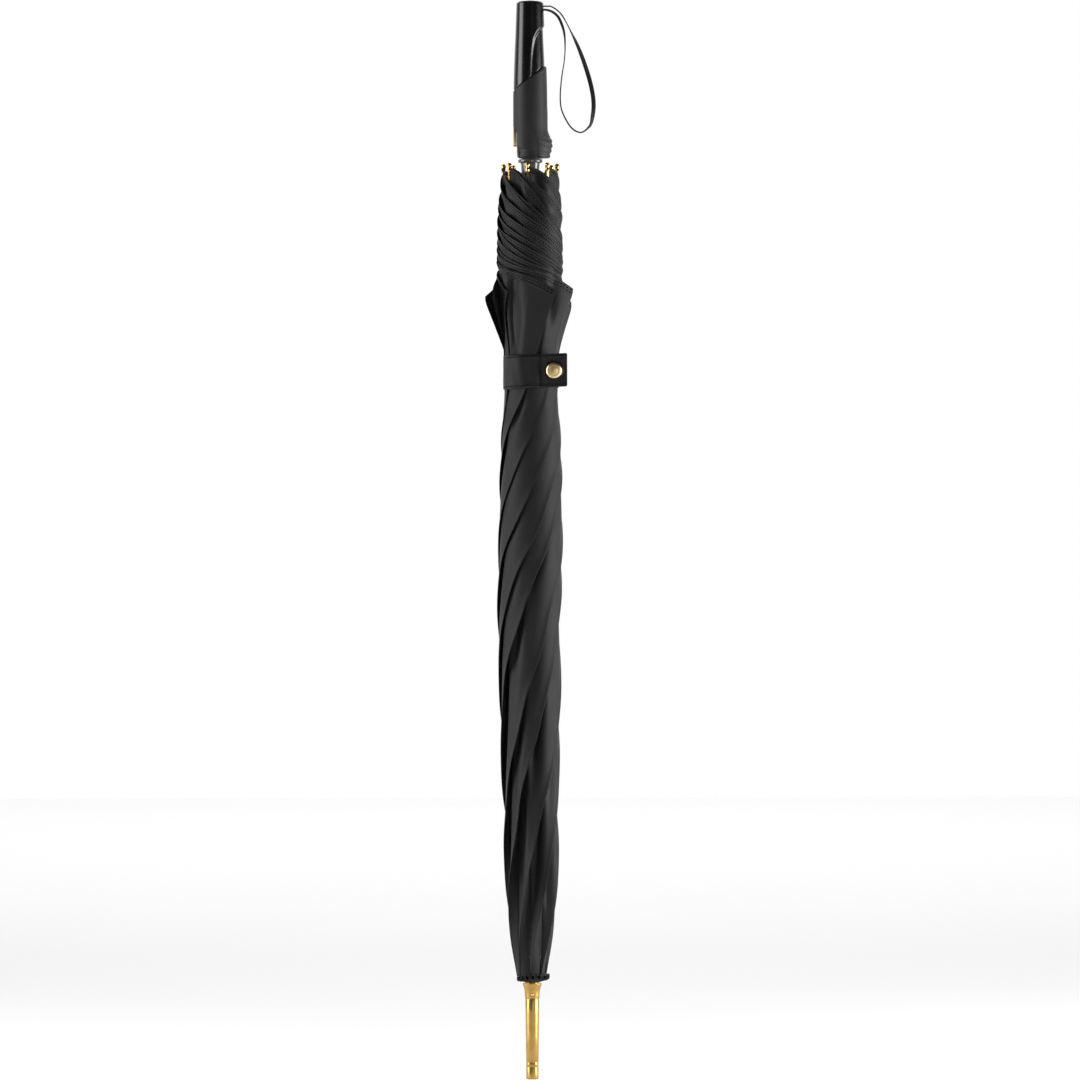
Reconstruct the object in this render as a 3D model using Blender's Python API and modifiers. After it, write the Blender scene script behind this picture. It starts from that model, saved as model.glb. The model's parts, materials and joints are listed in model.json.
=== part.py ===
"""A golf umbrella, closed, with its canopy wound round the frame and held by a tie strap.

The origin is the centre of the ferrule's end face. +Z runs up the shaft to the handle, and the strap's snap
faces -Y. The canopy opens when the runner slides down the shaft, away from the handle. All sizes are in metres.
"""

import math

import bmesh
import bpy
from mathutils import Matrix, Vector

# Driving dimensions
RIB_COUNT = 8
RIB_STEP = math.radians(45.0)
FIRST_RIB_AZIMUTH = math.radians(-96.0)
PIVOT_RADIUS = 0.009  # from the shaft's axis to the rib hinges and to the stretchers' ends
CROWN_HEIGHT = 0.105  # height of the rib hinges
REST_LEAN = math.radians(0.973)  # how far a rib leans out when the umbrella is closed
RIB_LENGTH = 0.724
ARM = 0.3175  # crown hinge to stretcher joint, and stretcher joint to runner
RIB_INNER = 0.0023  # a rib bar's inner and outer faces, outward of its hinge line
RIB_OUTER = 0.0041
RIB_WIDTH = 0.0020
STRETCHER_WIDTH = 0.0016
GAP = 0.0003  # clearance between neighbouring pieces

SHAFT_OUTER = 0.0060
SHAFT_BORE = 0.0052
SHAFT_LOW = 0.0885
SHAFT_TOP = 0.9620
RUNNER_BORE = 0.0062
RUNNER_TUBE = 0.0072
HUB_LOW = 0.7355
HUB_TOP = 0.7445
HUB_RADIUS = 0.0110
HANDLE_LOW = 0.8372
HANDLE_TOP = 0.9797
STRAP_LOW = 0.6281
STRAP_TOP = 0.6584
STRAP_RADIUS = 0.0258
STRAP_THICKNESS = 0.0012
SNAP_X = 0.0210  # the snap's place along the strap's flat tab
TAB_FRONT = -0.0258

PARTS = "golf_umbrella"
CUTTERS = "cutters"


# Scene and materials
def clear_scene():
    """Remove every object that a new file starts with."""
    for thing in list(bpy.data.objects):
        bpy.data.objects.remove(thing, do_unlink=True)


def collection(name):
    """Find or make a collection under the scene's own."""
    found = bpy.data.collections.get(name)
    if found is None:
        found = bpy.data.collections.new(name)
        bpy.context.scene.collection.children.link(found)
    return found


def look(name, colour, roughness, metallic=0.0):
    """Find or make a Principled material."""
    found = bpy.data.materials.get(name)
    if found is None:
        found = bpy.data.materials.new(name)
        found.use_nodes = True
        shader = found.node_tree.nodes["Principled BSDF"]
        shader.inputs["Base Color"].default_value = (*colour, 1.0)
        shader.inputs["Roughness"].default_value = roughness
        shader.inputs["Metallic"].default_value = metallic
    return found


def gold(name):
    return look(name, (0.72, 0.48, 0.22), 0.3, 1.0)


def steel(name):
    return look(name, (0.45, 0.45, 0.46), 0.35, 1.0)


def black_plastic(name):
    return look(name, (0.01, 0.01, 0.011), 0.15)


def fabric(name):
    return look(name, (0.05, 0.05, 0.052), 0.85)


# Building blocks
def place(name, mesh, finish, group=PARTS):
    """Link a mesh into the scene as a named object with one material."""
    item = bpy.data.objects.new(name, mesh)
    collection(group).objects.link(item)
    if not mesh.materials:
        mesh.materials.append(finish)
    return item


def as_cutter(item):
    """Turn an object into a hidden cutter."""
    for owner in list(item.users_collection):
        owner.objects.unlink(item)
    collection(CUTTERS).objects.link(item)
    item.hide_render = True
    item.display_type = "WIRE"
    return item


def combine(target, other, operation):
    """Add a Boolean of other to target, with other kept as a cutter."""
    modifier = target.modifiers.new(other.name, "BOOLEAN")
    modifier.operation = operation
    modifier.solver = "EXACT"
    modifier.object = as_cutter(other)
    return target


def cut(target, *others):
    for other in others:
        combine(target, other, "DIFFERENCE")
    return target


def join(target, *others):
    for other in others:
        combine(target, other, "UNION")
    return target


def lathe(name, outline, finish, steps=24, ring=True):
    """Turn an outline of (radius, height), which runs down its outer side. A ring's outline is closed."""
    count = len(outline)
    edges = [(i, i + 1) for i in range(count - 1)]
    if ring:
        edges.append((count - 1, 0))
    mesh = bpy.data.meshes.new(name)
    mesh.from_pydata([(radius, 0.0, height) for radius, height in outline], edges, [])
    item = place(name, mesh, finish)
    screw = item.modifiers.new("turn", "SCREW")
    screw.steps = steps
    screw.render_steps = steps
    screw.use_merge_vertices = True
    screw.merge_threshold = 0.00001
    screw.use_smooth_shade = True
    return item


def from_bmesh(name, shape, finish):
    mesh = bpy.data.meshes.new(name)
    shape.to_mesh(mesh)
    shape.free()
    return place(name, mesh, finish)


def box(name, low, high, finish, bevel=0.0):
    """A box between two corners, with its edges rounded by a Bevel modifier when asked."""
    low = Vector(low)
    high = Vector(high)
    shape = bmesh.new()
    bmesh.ops.create_cube(shape, size=1.0)
    bmesh.ops.scale(shape, vec=high - low, verts=shape.verts)
    item = from_bmesh(name, shape, finish)
    item.location = (low + high) / 2.0
    if bevel:
        rounding = item.modifiers.new("edges", "BEVEL")
        rounding.width = bevel
        rounding.segments = 2
    return item


def rod(name, radius, start, end, finish, sides=16):
    """A cylinder from start to end."""
    start = Vector(start)
    end = Vector(end)
    span = end - start
    shape = bmesh.new()
    bmesh.ops.create_cone(
        shape, cap_ends=True, segments=sides, radius1=radius, radius2=radius, depth=span.length
    )
    item = from_bmesh(name, shape, finish)
    item.location = (start + end) / 2.0
    item.rotation_euler = span.to_track_quat("Z", "Y").to_euler()
    item.data.shade_smooth()
    item.data.set_sharp_from_angle(angle=math.radians(40.0))
    return item


def taken_as_mesh(source):
    """Replace a curve, or an object with modifiers, by its evaluated mesh in the world frame."""
    bpy.context.view_layer.update()
    evaluated = source.evaluated_get(bpy.context.evaluated_depsgraph_get())
    mesh = bpy.data.meshes.new_from_object(evaluated)
    mesh.transform(source.matrix_world)
    shape = bmesh.new()
    shape.from_mesh(mesh)
    bmesh.ops.remove_doubles(shape, verts=shape.verts, dist=0.000001)
    shape.to_mesh(mesh)
    shape.free()
    name = source.name
    bpy.data.objects.remove(source, do_unlink=True)
    mesh.name = name
    return mesh


def plate(name, outlines, thickness, finish):
    """A flat plate in the XZ plane, centred on it. The outlines after the first are holes."""
    curve = bpy.data.curves.new(name, "CURVE")
    curve.dimensions = "2D"
    curve.fill_mode = "BOTH"
    curve.extrude = thickness / 2.0
    for outline in outlines:
        spline = curve.splines.new("POLY")
        spline.points.add(len(outline) - 1)
        spline.use_cyclic_u = True
        for point, (x, z) in zip(spline.points, outline):
            point.co = (x, z, 0.0, 1.0)
    item = bpy.data.objects.new(name, curve)
    collection(PARTS).objects.link(item)
    item.rotation_euler = (math.pi / 2.0, 0.0, 0.0)
    return place(name, taken_as_mesh(item), finish)


def wire(name, points, radius, finish, closed=False):
    """A round wire along a list of points."""
    curve = bpy.data.curves.new(name, "CURVE")
    curve.dimensions = "3D"
    curve.bevel_depth = radius
    curve.bevel_resolution = 2
    curve.use_fill_caps = not closed
    spline = curve.splines.new("POLY")
    spline.points.add(len(points) - 1)
    spline.use_cyclic_u = closed
    for point, place_of_it in zip(spline.points, points):
        point.co = (*place_of_it, 1.0)
    item = bpy.data.objects.new(name, curve)
    collection(PARTS).objects.link(item)
    return place(name, taken_as_mesh(item), finish)


def arc(radius, start, end, count, centre=(0.0, 0.0)):
    """Points on an arc between two angles, in degrees."""
    points = []
    for i in range(count):
        angle = math.radians(start + (end - start) * i / (count - 1))
        points.append((centre[0] + radius * math.cos(angle), centre[1] + radius * math.sin(angle)))
    return points


def circle(radius, count, centre=(0.0, 0.0)):
    return arc(radius, 0.0, 360.0 * (count - 1) / count, count, centre)


def coil_points(radius, turns, length, per_turn=8):
    """Points of a helix along +Z from the origin."""
    count = turns * per_turn + 1
    points = []
    for i in range(count):
        angle = 2.0 * math.pi * i / per_turn
        points.append((radius * math.cos(angle), radius * math.sin(angle), length * i / (count - 1)))
    return points


def smooth_route(knots, spacing):
    """Points at an even spacing along a Catmull-Rom curve through the knots."""
    knots = [Vector(knot) for knot in knots]
    padded = [2.0 * knots[0] - knots[1]] + knots + [2.0 * knots[-1] - knots[-2]]
    fine_steps = 20
    fine = []
    for i in range(1, len(padded) - 2):
        before, start, end, after = padded[i - 1 : i + 3]
        for j in range(fine_steps):
            t = j / fine_steps
            fine.append(
                0.5
                * (
                    2.0 * start
                    + (end - before) * t
                    + (2.0 * before - 5.0 * start + 4.0 * end - after) * t**2
                    + (3.0 * start - before - 3.0 * end + after) * t**3
                )
            )
    fine.append(knots[-1])
    total = sum((b - a).length for a, b in zip(fine, fine[1:]))
    count = round(total / spacing)
    route = [fine[0]]
    walked = 0.0
    for a, b in zip(fine, fine[1:]):
        step = (b - a).length
        while len(route) < count and walked + step >= total * len(route) / count:
            share = (total * len(route) / count - walked) / step
            route.append(a.lerp(b, share))
        walked += step
    route.append(fine[-1])
    return route


def empty(name, location, parent=None, rotation=(0.0, 0.0, 0.0)):
    """A joint's place: an empty on the joint's axis."""
    item = bpy.data.objects.new(name, None)
    collection(PARTS).objects.link(item)
    item.empty_display_size = 0.01
    item.location = location
    item.rotation_euler = rotation
    item.parent = parent
    return item


def hang_on(item, joint):
    """Parent an object to a joint's empty and leave it where it is in the world."""
    bpy.context.view_layer.update()
    item.parent = joint
    item.matrix_parent_inverse = joint.matrix_world.inverted()


# Crown end
def make_ferrule():
    outline = [
        (0.0, 0.1080),
        (0.0040, 0.1080),
        (0.0049, 0.1070),
        (0.0049, 0.0880),
        (0.0059, 0.0878),
        (0.0059, 0.0733),
        (0.0064, 0.0730),
        (0.0057, 0.0165),
        (0.0054, 0.0160),
        (0.0057, 0.0153),
        (0.0054, 0.0115),
        (0.0057, 0.0108),
        (0.0056, 0.0006),
        (0.0050, 0.0),
        (0.0, 0.0),
    ]
    ferrule = lathe("ferrule", outline, gold("ferrule_gold"), ring=False)
    cup_outline = [
        (0.0087, 0.0873),
        (0.0084, 0.0855),
        (0.0072, 0.0820),
        (0.0066, 0.0780),
        (0.0065, 0.0736),
        (0.0062, 0.0736),
        (0.0062, 0.0873),
    ]
    cup = lathe("ferrule_cup", cup_outline, gold("ferrule_gold"))
    front = (0.0, -0.0071, 0.0773)
    inside = (0.0, -0.0030, 0.0773)
    beyond = (0.0, -0.0100, 0.0773)
    cut(ferrule, rod("ferrule_rivet_hole", 0.0011, (0.0, -0.0027, 0.0773), beyond, gold("ferrule_gold")))
    cut(cup, rod("cup_rivet_hole", 0.0011, inside, beyond, gold("ferrule_gold")))
    rod("cup_rivet", 0.0008, front, inside, gold("rivet_gold"), sides=12)


def make_shaft():
    outline = [
        (SHAFT_OUTER, SHAFT_TOP),
        (SHAFT_OUTER, SHAFT_LOW),
        (SHAFT_BORE, SHAFT_LOW),
        (SHAFT_BORE, SHAFT_TOP),
    ]
    shaft = lathe("shaft_tube", outline, steel("shaft_steel"))
    slot = box("drive_slot", (-0.0012, -0.0080, 0.4180), (0.0012, 0.0080, 0.7625), steel("shaft_steel"))
    stop_hole = rod("stop_hole", 0.0012, (-0.0090, 0.0, 0.3950), (0.0090, 0.0, 0.3950), steel("shaft_steel"))
    cut(shaft, slot, stop_hole)
    rod("stop_pin", 0.0009, (-0.0078, 0.0, 0.3950), (0.0078, 0.0, 0.3950), steel("pin_steel"), sides=12)


def slotted(name, outline, finish, slot_width, slot_floor, slot_low, slot_top):
    """A turned hub with one open slot for each rib."""
    hub = lathe(name, outline, finish, steps=32)
    for i in range(RIB_COUNT):
        azimuth = FIRST_RIB_AZIMUTH + i * RIB_STEP
        reach = 0.0140
        slot = box(
            f"{name}_slot_{i + 1}",
            (slot_floor, -slot_width / 2.0, slot_low),
            (reach, slot_width / 2.0, slot_top),
            finish,
        )
        slot.data.transform(Matrix.Translation(slot.location))
        slot.location = (0.0, 0.0, 0.0)
        slot.rotation_euler = (0.0, 0.0, azimuth)
        cut(hub, slot)
    return hub


def make_crown():
    low = 0.0995
    top = 0.1115
    outline = [
        (0.0100, top),
        (HUB_RADIUS, top - 0.0010),
        (HUB_RADIUS, low + 0.0010),
        (0.0100, low),
        (SHAFT_OUTER + GAP, low),
        (SHAFT_OUTER + GAP, top),
    ]
    hub = slotted("crown_hub", outline, steel("hub_zinc"), 0.0028, 0.0069, low - 0.001, top + 0.001)
    count = 24
    ring = [(x, y, CROWN_HEIGHT) for x, y in circle(PIVOT_RADIUS, count)]
    groove = wire("crown_wire_groove", ring, 0.0009, steel("hub_zinc"), closed=True)
    cut(hub, groove)
    wire("crown_wire", ring, 0.00055, steel("pin_steel"), closed=True)


def make_rosette():
    """The gathered fabric under the crown hub: a thin crown disc, and a small disc held by the ferrule's cup."""
    crown_outline = [
        (0.0130, 0.0964),
        (0.0140, 0.0950),
        (0.0130, 0.0938),
        (SHAFT_OUTER + GAP, 0.0938),
        (SHAFT_OUTER + GAP, 0.0964),
    ]
    lathe("canopy_crown", crown_outline, fabric("canopy_fabric"))
    outline = [
        (0.0135, 0.0930),
        (0.0150, 0.0915),
        (0.0115, 0.0890),
        (0.0080, 0.0878),
        (SHAFT_OUTER + GAP, 0.0880),
        (SHAFT_OUTER + GAP, 0.0930),
    ]
    lathe("rosette", outline, fabric("rosette_fabric"))


# Frame
def rib_mesh():
    """A rib in its own frame: hinge eye at the origin, +Z along the bar, +X away from the shaft."""
    finish = gold("rib_gold")
    eye = [(x, z) for x, z in arc(0.0020, 150.0, 380.0, 11)]
    outline = [
        *eye,
        (RIB_OUTER, 0.0065),
        (RIB_OUTER, RIB_LENGTH),
        (RIB_INNER, RIB_LENGTH),
        (RIB_INNER, 0.0090),
    ]
    rib = plate("rib_blank", [outline, circle(0.00095, 10)], RIB_WIDTH, finish)
    cheek = 0.0020
    clevis = box(
        "rib_clevis", (-0.0017, -cheek, ARM - 0.0026), (RIB_OUTER - 0.0004, cheek, ARM + 0.0026), finish
    )
    half = STRETCHER_WIDTH / 2.0 + 0.00035
    gap = box("rib_clevis_gap", (-0.0050, -half, ARM - 0.0040), (RIB_INNER, half, ARM + 0.0040), finish)
    pin = rod("rib_pin", 0.0007, (0.0, -cheek - 0.0004, ARM), (0.0, cheek + 0.0004, ARM), finish, sides=8)
    join(rib, clevis)
    cut(rib, gap)
    join(rib, pin)
    return taken_as_mesh(rib)


def stretcher_mesh():
    """A stretcher in its own frame: joint eye at the origin, +Z along the bar to its end in the runner."""
    finish = steel("stretcher_steel")
    half = 0.0012
    joint_eye = arc(0.0018, 140.0, 400.0, 12)
    far_eye = arc(0.0014, -40.0, 220.0, 10, centre=(0.0, ARM))
    low = 0.0030
    outline = [*joint_eye, (half, low), (half, ARM - low), *far_eye, (-half, ARM - low), (-half, low)]
    bar = plate("stretcher_blank", [outline, circle(0.0011, 10)], STRETCHER_WIDTH, finish)
    return taken_as_mesh(bar)


def tip_mesh():
    """A rib tip: a small turned cap with a socket for the rib's end."""
    outline = [
        (0.0008, 0.0030),
        (0.0019, 0.0020),
        (0.0022, 0.0004),
        (0.0020, -0.0014),
        (0.0021, -0.0050),
        (0.0016, -0.0050),
        (0.0016, 0.0004),
        (0.0, 0.0004),
    ]
    closed = [(0.0, 0.0030), *outline]
    return taken_as_mesh(lathe("tip_blank", closed, gold("tip_gold"), steps=10, ring=False))


def make_frame():
    """Eight ribs on the crown's wire ring, each with a tip and a stretcher."""
    rib = rib_mesh()
    stretcher = stretcher_mesh()
    tip = tip_mesh()
    bar_centre = (RIB_INNER + RIB_OUTER) / 2.0
    hinges = []
    for i in range(RIB_COUNT):
        azimuth = FIRST_RIB_AZIMUTH + i * RIB_STEP
        pivot = (PIVOT_RADIUS * math.cos(azimuth), PIVOT_RADIUS * math.sin(azimuth), CROWN_HEIGHT)
        number = i + 1
        hinge = empty(f"hinge_rib_{number}", pivot, rotation=(0.0, REST_LEAN, azimuth))
        place(f"rib_{number}", rib, gold("rib_gold")).parent = hinge
        rib_tip = place(f"rib_tip_{number}", tip, gold("tip_gold"))
        rib_tip.parent = hinge
        rib_tip.location = (bar_centre, 0.0, RIB_LENGTH + GAP)
        joint = empty(
            f"hinge_stretcher_{number}", (0.0, 0.0, ARM), hinge, rotation=(0.0, -2.0 * REST_LEAN, 0.0)
        )
        place(f"stretcher_{number}", stretcher, steel("stretcher_steel")).parent = joint
        hinges.append(hinge)
    return hinges


def make_runner():
    outline = [
        (0.0076, 0.8590),
        (0.0076, 0.8556),
        (0.0070, 0.8552),
        (0.0070, 0.8378),
        (0.0078, 0.8368),
        (0.0078, 0.8360),
        (0.0112, 0.8356),
        (0.0112, 0.8332),
        (0.0085, 0.8325),
        (0.0078, 0.8195),
        (RUNNER_TUBE, 0.8185),
        (RUNNER_TUBE, HUB_TOP),
        (HUB_RADIUS, HUB_TOP),
        (HUB_RADIUS, HUB_LOW),
        (RUNNER_BORE, HUB_LOW),
        (RUNNER_BORE, 0.8590),
    ]
    grey = look("runner_plastic", (0.16, 0.16, 0.17), 0.25)
    runner = slotted("runner", outline, grey, 0.0024, RUNNER_TUBE + 0.0001, HUB_LOW - 0.001, HUB_TOP + 0.001)
    height = 0.7600
    cut(runner, rod("drive_pin_hole", 0.0012, (0.0, -0.0100, height), (0.0, 0.0100, height), grey))
    rod("drive_pin", 0.0009, (0.0, -0.0068, height), (0.0, 0.0068, height), steel("pin_steel"), sides=12)


def make_spring():
    """The opening spring in the shaft, squeezed between the drive pin and its plug."""
    low = 0.7614
    top = 0.9340
    points = [(x, y, low + z) for x, y, z in coil_points(0.0037, 11, top - low)]
    wire("opening_spring", points, 0.0005, steel("spring_steel"))
    outline = [
        (0.0, 0.9440),
        (0.0046, 0.9440),
        (0.0049, 0.9430),
        (0.0049, 0.9350),
        (0.0, 0.9350),
    ]
    lathe("spring_plug", outline, black_plastic("plug_plastic"), ring=False, steps=16)


# Canopy
def rib_face(height, clearance):
    """Radius just outside the ribs at a height."""
    return PIVOT_RADIUS + RIB_OUTER + (height - CROWN_HEIGHT) * math.tan(REST_LEAN) + clearance


def make_gores():
    """The wound canopy as eight shells, each over the space between two ribs and hinged with it."""
    low = 0.1170
    top = 0.8200
    clearance = 0.0008
    outer = [
        (0.0268, top),
        (0.0294, 0.7900),
        (0.0300, 0.7300),
        (0.0330, 0.7100),
        (0.0330, 0.6950),
        (0.0290, 0.6720),
        (0.0243, 0.6610),
        (0.0243, 0.6260),
        (0.0255, 0.6150),
        (0.0275, 0.5720),
        (0.0288, 0.4810),
        (0.0285, 0.4170),
        (0.0274, 0.3450),
        (0.0256, 0.2540),
        (0.0220, 0.1630),
        (0.0170, low),
    ]
    inner = [(rib_face(low, clearance), low), (rib_face(top, clearance), top)]
    width = math.radians(43.4)
    shape = bmesh.new()
    corners = [shape.verts.new((radius, 0.0, height)) for radius, height in outer + inner]
    face = shape.faces.new(corners)
    bmesh.ops.spin(
        shape,
        geom=[face, *face.edges, *corners],
        cent=(0.0, 0.0, 0.0),
        axis=(0.0, 0.0, 1.0),
        angle=width,
        steps=3,
        use_duplicate=False,
    )
    bmesh.ops.recalc_face_normals(shape, faces=shape.faces)
    mesh = bpy.data.meshes.new("gore")
    shape.to_mesh(mesh)
    shape.free()
    corner_radius = PIVOT_RADIUS / math.cos(RIB_STEP / 2.0)
    for i in range(RIB_COUNT):
        azimuth = FIRST_RIB_AZIMUTH + i * RIB_STEP
        middle = azimuth + RIB_STEP / 2.0
        corner = Vector((corner_radius * math.cos(middle), corner_radius * math.sin(middle), CROWN_HEIGHT))
        hinge = empty(f"hinge_gore_{i + 1}", corner)
        gore = place(f"gore_{i + 1}", mesh, fabric("canopy_fabric"))
        gore.parent = hinge
        gore.location = -corner
        gore.rotation_euler = (0.0, 0.0, azimuth + (RIB_STEP - width) / 2.0)


# Tie strap
def make_strap(first_hinge):
    """A band round the bundle, with a flat end that carries the snap's stud, and a loose tab over it."""
    webbing = look("strap_webbing", (0.02, 0.02, 0.021), 0.8)
    inner = STRAP_RADIUS - STRAP_THICKNESS
    outline = [
        (STRAP_RADIUS, STRAP_TOP),
        (STRAP_RADIUS, STRAP_LOW),
        (inner, STRAP_LOW),
        (inner, STRAP_TOP),
    ]
    strap = lathe("tie_strap", outline, webbing, steps=32)
    stud_back = TAB_FRONT + STRAP_THICKNESS + GAP + 0.0008
    lug = box(
        "strap_lug",
        (0.0130, stud_back + GAP, STRAP_LOW),
        (0.0300, stud_back + GAP + STRAP_THICKNESS, STRAP_TOP),
        webbing,
    )
    join(strap, lug)
    middle = (STRAP_LOW + STRAP_TOP) / 2.0
    stud = rod(
        "snap_stud",
        0.0055,
        (SNAP_X, TAB_FRONT + STRAP_THICKNESS + GAP, middle),
        (SNAP_X, stud_back, middle),
        black_plastic("stud_black"),
        sides=20,
    )
    hinge = empty("hinge_strap_tab", (0.0095, TAB_FRONT + STRAP_THICKNESS / 2.0, middle))
    tab = box(
        "strap_tab",
        (0.0090, TAB_FRONT, STRAP_LOW),
        (0.0330, TAB_FRONT + STRAP_THICKNESS, STRAP_TOP),
        webbing,
    )
    cap_outline = [
        (0.0, 0.0020),
        (0.0035, 0.0019),
        (0.0063, 0.0014),
        (0.0073, 0.0004),
        (0.0073, 0.0),
        (0.0, 0.0),
    ]
    cap = lathe("snap_cap", cap_outline, gold("snap_gold"), ring=False)
    cap.location = (SNAP_X, TAB_FRONT - GAP, middle)
    cap.rotation_euler = (math.pi / 2.0, 0.0, 0.0)
    hang_on(hinge, first_hinge)
    hang_on(strap, first_hinge)
    hang_on(stud, first_hinge)
    hang_on(tab, hinge)
    hang_on(cap, hinge)


# Handle
def handle_outline():
    """The handle's outer side, top to bottom."""
    return [
        (0.0100, HANDLE_TOP),
        (0.0118, HANDLE_TOP - 0.0012),
        (0.0124, HANDLE_TOP - 0.0035),
        (0.0134, 0.9500),
        (0.0146, 0.9250),
        (0.0152, 0.9000),
        (0.0152, 0.8720),
        (0.0150, 0.8500),
        (0.0142, 0.8430),
        (0.0138, HANDLE_LOW),
    ]


def sleeve_zone(name, clearance, finish):
    """The space of the soft sleeve: outside the core, below a plane that rises towards +X."""
    far = 0.0300
    core = [
        (0.0118, 0.8000),
        (0.0118, 0.8380),
        (0.0130, 0.8500),
        (0.0132, 0.8990),
        (0.0126, 0.9250),
        (0.0114, 0.9600),
    ]
    inner = [(radius + clearance, height) for radius, height in core]
    zone = lathe(name, [(far, 0.9600), (far, 0.8000), *inner], finish)
    side = 0.2
    slope = math.radians(36.4)
    normal = Vector((-math.sin(slope), 0.0, math.cos(slope)))
    centre = Vector((0.0, 0.0, 0.9099)) - normal * (side / 2.0 + clearance)
    below = box(name + "_below", (-side / 2.0,) * 3, (side / 2.0,) * 3, finish)
    below.location = centre
    below.rotation_euler = (0.0, -slope, 0.0)
    combine(zone, below, "INTERSECT")
    return zone


def handle_openings(owner, finish):
    """The button's pocket."""
    return box(owner + "_button_pocket", (-0.0200, -0.0049, 0.8472), (-0.0097, 0.0049, 0.8648), finish)


def make_handle():
    gloss = black_plastic("handle_gloss")
    soft = look("grip_rubber", (0.045, 0.045, 0.047), 0.6)
    cap_recess = 0.0054
    recess_floor = 0.9765
    runner_recess = 0.0083
    shaft_bore = SHAFT_OUTER + GAP
    outline = [
        (0.0, recess_floor),
        (cap_recess, recess_floor),
        (cap_recess, HANDLE_TOP),
        *handle_outline(),
        (runner_recess, HANDLE_LOW),
        (runner_recess, 0.8605),
        (shaft_bore, 0.8605),
        (shaft_bore, SHAFT_TOP + GAP),
        (0.0, SHAFT_TOP + GAP),
    ]
    shell = lathe("handle_shell", outline, gloss, steps=28, ring=False)
    cut(shell, sleeve_zone("shell_cutback", 0.0, gloss), handle_openings("shell", gloss))
    latch_pocket = rod("latch_pocket", 0.0112, (0.0004, 0.0, 0.8526), (0.0004, 0.0, 0.8550), gloss, sides=24)
    strap_pocket = box("strap_pocket", (0.0055, -0.0024, 0.9700), (0.0200, 0.0024, 0.9770), gloss)
    pin_hole = rod("strap_pin_hole", 0.0013, (0.0080, 0.0, 0.9672), (0.0080, 0.0, 0.9900), gloss, sides=12)
    cut(shell, latch_pocket, strap_pocket, pin_hole)

    top = 0.9300
    lower_side = [point for point in handle_outline() if point[1] < top]
    solid = [(0.0, top), (lower_side[0][0], top), *lower_side, (0.0, HANDLE_LOW)]
    grip = lathe("handle_grip", solid, soft, steps=28, ring=False)
    rest_ball = bmesh.new()
    bmesh.ops.create_uvsphere(rest_ball, u_segments=16, v_segments=10, radius=0.0098)
    bmesh.ops.scale(rest_ball, vec=(0.83, 1.0, 1.0), verts=rest_ball.verts)
    finger_rest = from_bmesh("finger_rest", rest_ball, soft)
    finger_rest.location = (0.0112, 0.0, 0.8475)
    join(grip, finger_rest)
    combine(grip, sleeve_zone("grip_zone", GAP, soft), "INTERSECT")
    floor_trim = box("grip_floor_trim", (-0.04, -0.04, 0.80), (0.04, 0.04, HANDLE_LOW), soft)
    cut(grip, floor_trim, handle_openings("grip", soft))

    cap_outline = [
        (0.0, 0.9805),
        (0.0042, 0.9805),
        (0.0050, 0.9800),
        (0.0050, recess_floor + GAP),
        (0.0, recess_floor + GAP),
    ]
    lathe("handle_end_cap", cap_outline, look("end_cap_pale", (0.55, 0.55, 0.55), 0.4), ring=False)
    rod("strap_pin", 0.0010, (0.0080, 0.0, 0.9677), (0.0080, 0.0, 0.9792), steel("pin_steel"), sides=12)


def make_button():
    """The push button, its return spring, and the latch plate round the runner's neck."""
    button = box(
        "push_button", (-0.0156, -0.0046, 0.8475), (-0.0124, 0.0046, 0.8645), gold("button_gold"), bevel=0.0008
    )
    hang_on(button, empty("slide_button", (-0.0124, 0.0, 0.8560)))
    length = 0.0019
    turn = Matrix.Translation((-0.0118, 0.0, 0.8600)) @ Matrix.Rotation(math.pi / 2.0, 4, "Y")
    points = [turn @ Vector(point) for point in coil_points(0.0016, 2, length)]
    wire("button_spring", points, 0.0002, steel("spring_steel"))
    finish = steel("latch_steel")
    latch = rod("latch", 0.0102, (0.0, 0.0, 0.8530), (0.0, 0.0, 0.8546), finish, sides=24)
    hole = rod("latch_hole", 0.0083, (-0.0004, 0.0, 0.8500), (-0.0004, 0.0, 0.8600), finish, sides=24)
    cut(latch, hole)
    hang_on(latch, empty("slide_latch", (0.0, 0.0, 0.8538)))


def make_wrist_strap():
    """The wrist strap, a loop that leaves the handle's side, hangs beside it and goes back in."""
    knots = [
        (0.0100, 0.0, 0.9750),
        (0.0150, 0.0, 0.9752),
        (0.0200, 0.0, 0.9746),
        (0.0282, -0.0005, 0.9681),
        (0.0359, -0.0010, 0.9545),
        (0.0455, -0.0015, 0.9335),
        (0.0542, -0.0010, 0.9072),
        (0.0576, 0.0, 0.8872),
        (0.0559, 0.0008, 0.8708),
        (0.0525, 0.0010, 0.8645),
        (0.0455, 0.0012, 0.8604),
        (0.0368, 0.0012, 0.8654),
        (0.0291, 0.0010, 0.8794),
        (0.0273, 0.0008, 0.8917),
        (0.0285, 0.0005, 0.9090),
        (0.0309, 0.0005, 0.9245),
        (0.0318, 0.0005, 0.9372),
        (0.0309, 0.0005, 0.9517),
        (0.0264, 0.0003, 0.9641),
        (0.0209, 0.0, 0.9697),
        (0.0150, 0.0, 0.9718),
        (0.0100, 0.0, 0.9720),
    ]
    spacing = 0.0055
    wire("wrist_strap", smooth_route(knots, spacing), 0.0010, look("wrist_webbing", (0.015, 0.015, 0.016), 0.8))


clear_scene()
make_ferrule()
make_shaft()
make_crown()
make_rosette()
rib_hinges = make_frame()
make_runner()
make_spring()
make_gores()
make_strap(rib_hinges[0])
make_handle()
make_button()
make_wrist_strap()
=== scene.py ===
"""The looks of a closed golf umbrella: eight folded gores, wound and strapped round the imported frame."""
import math

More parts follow.
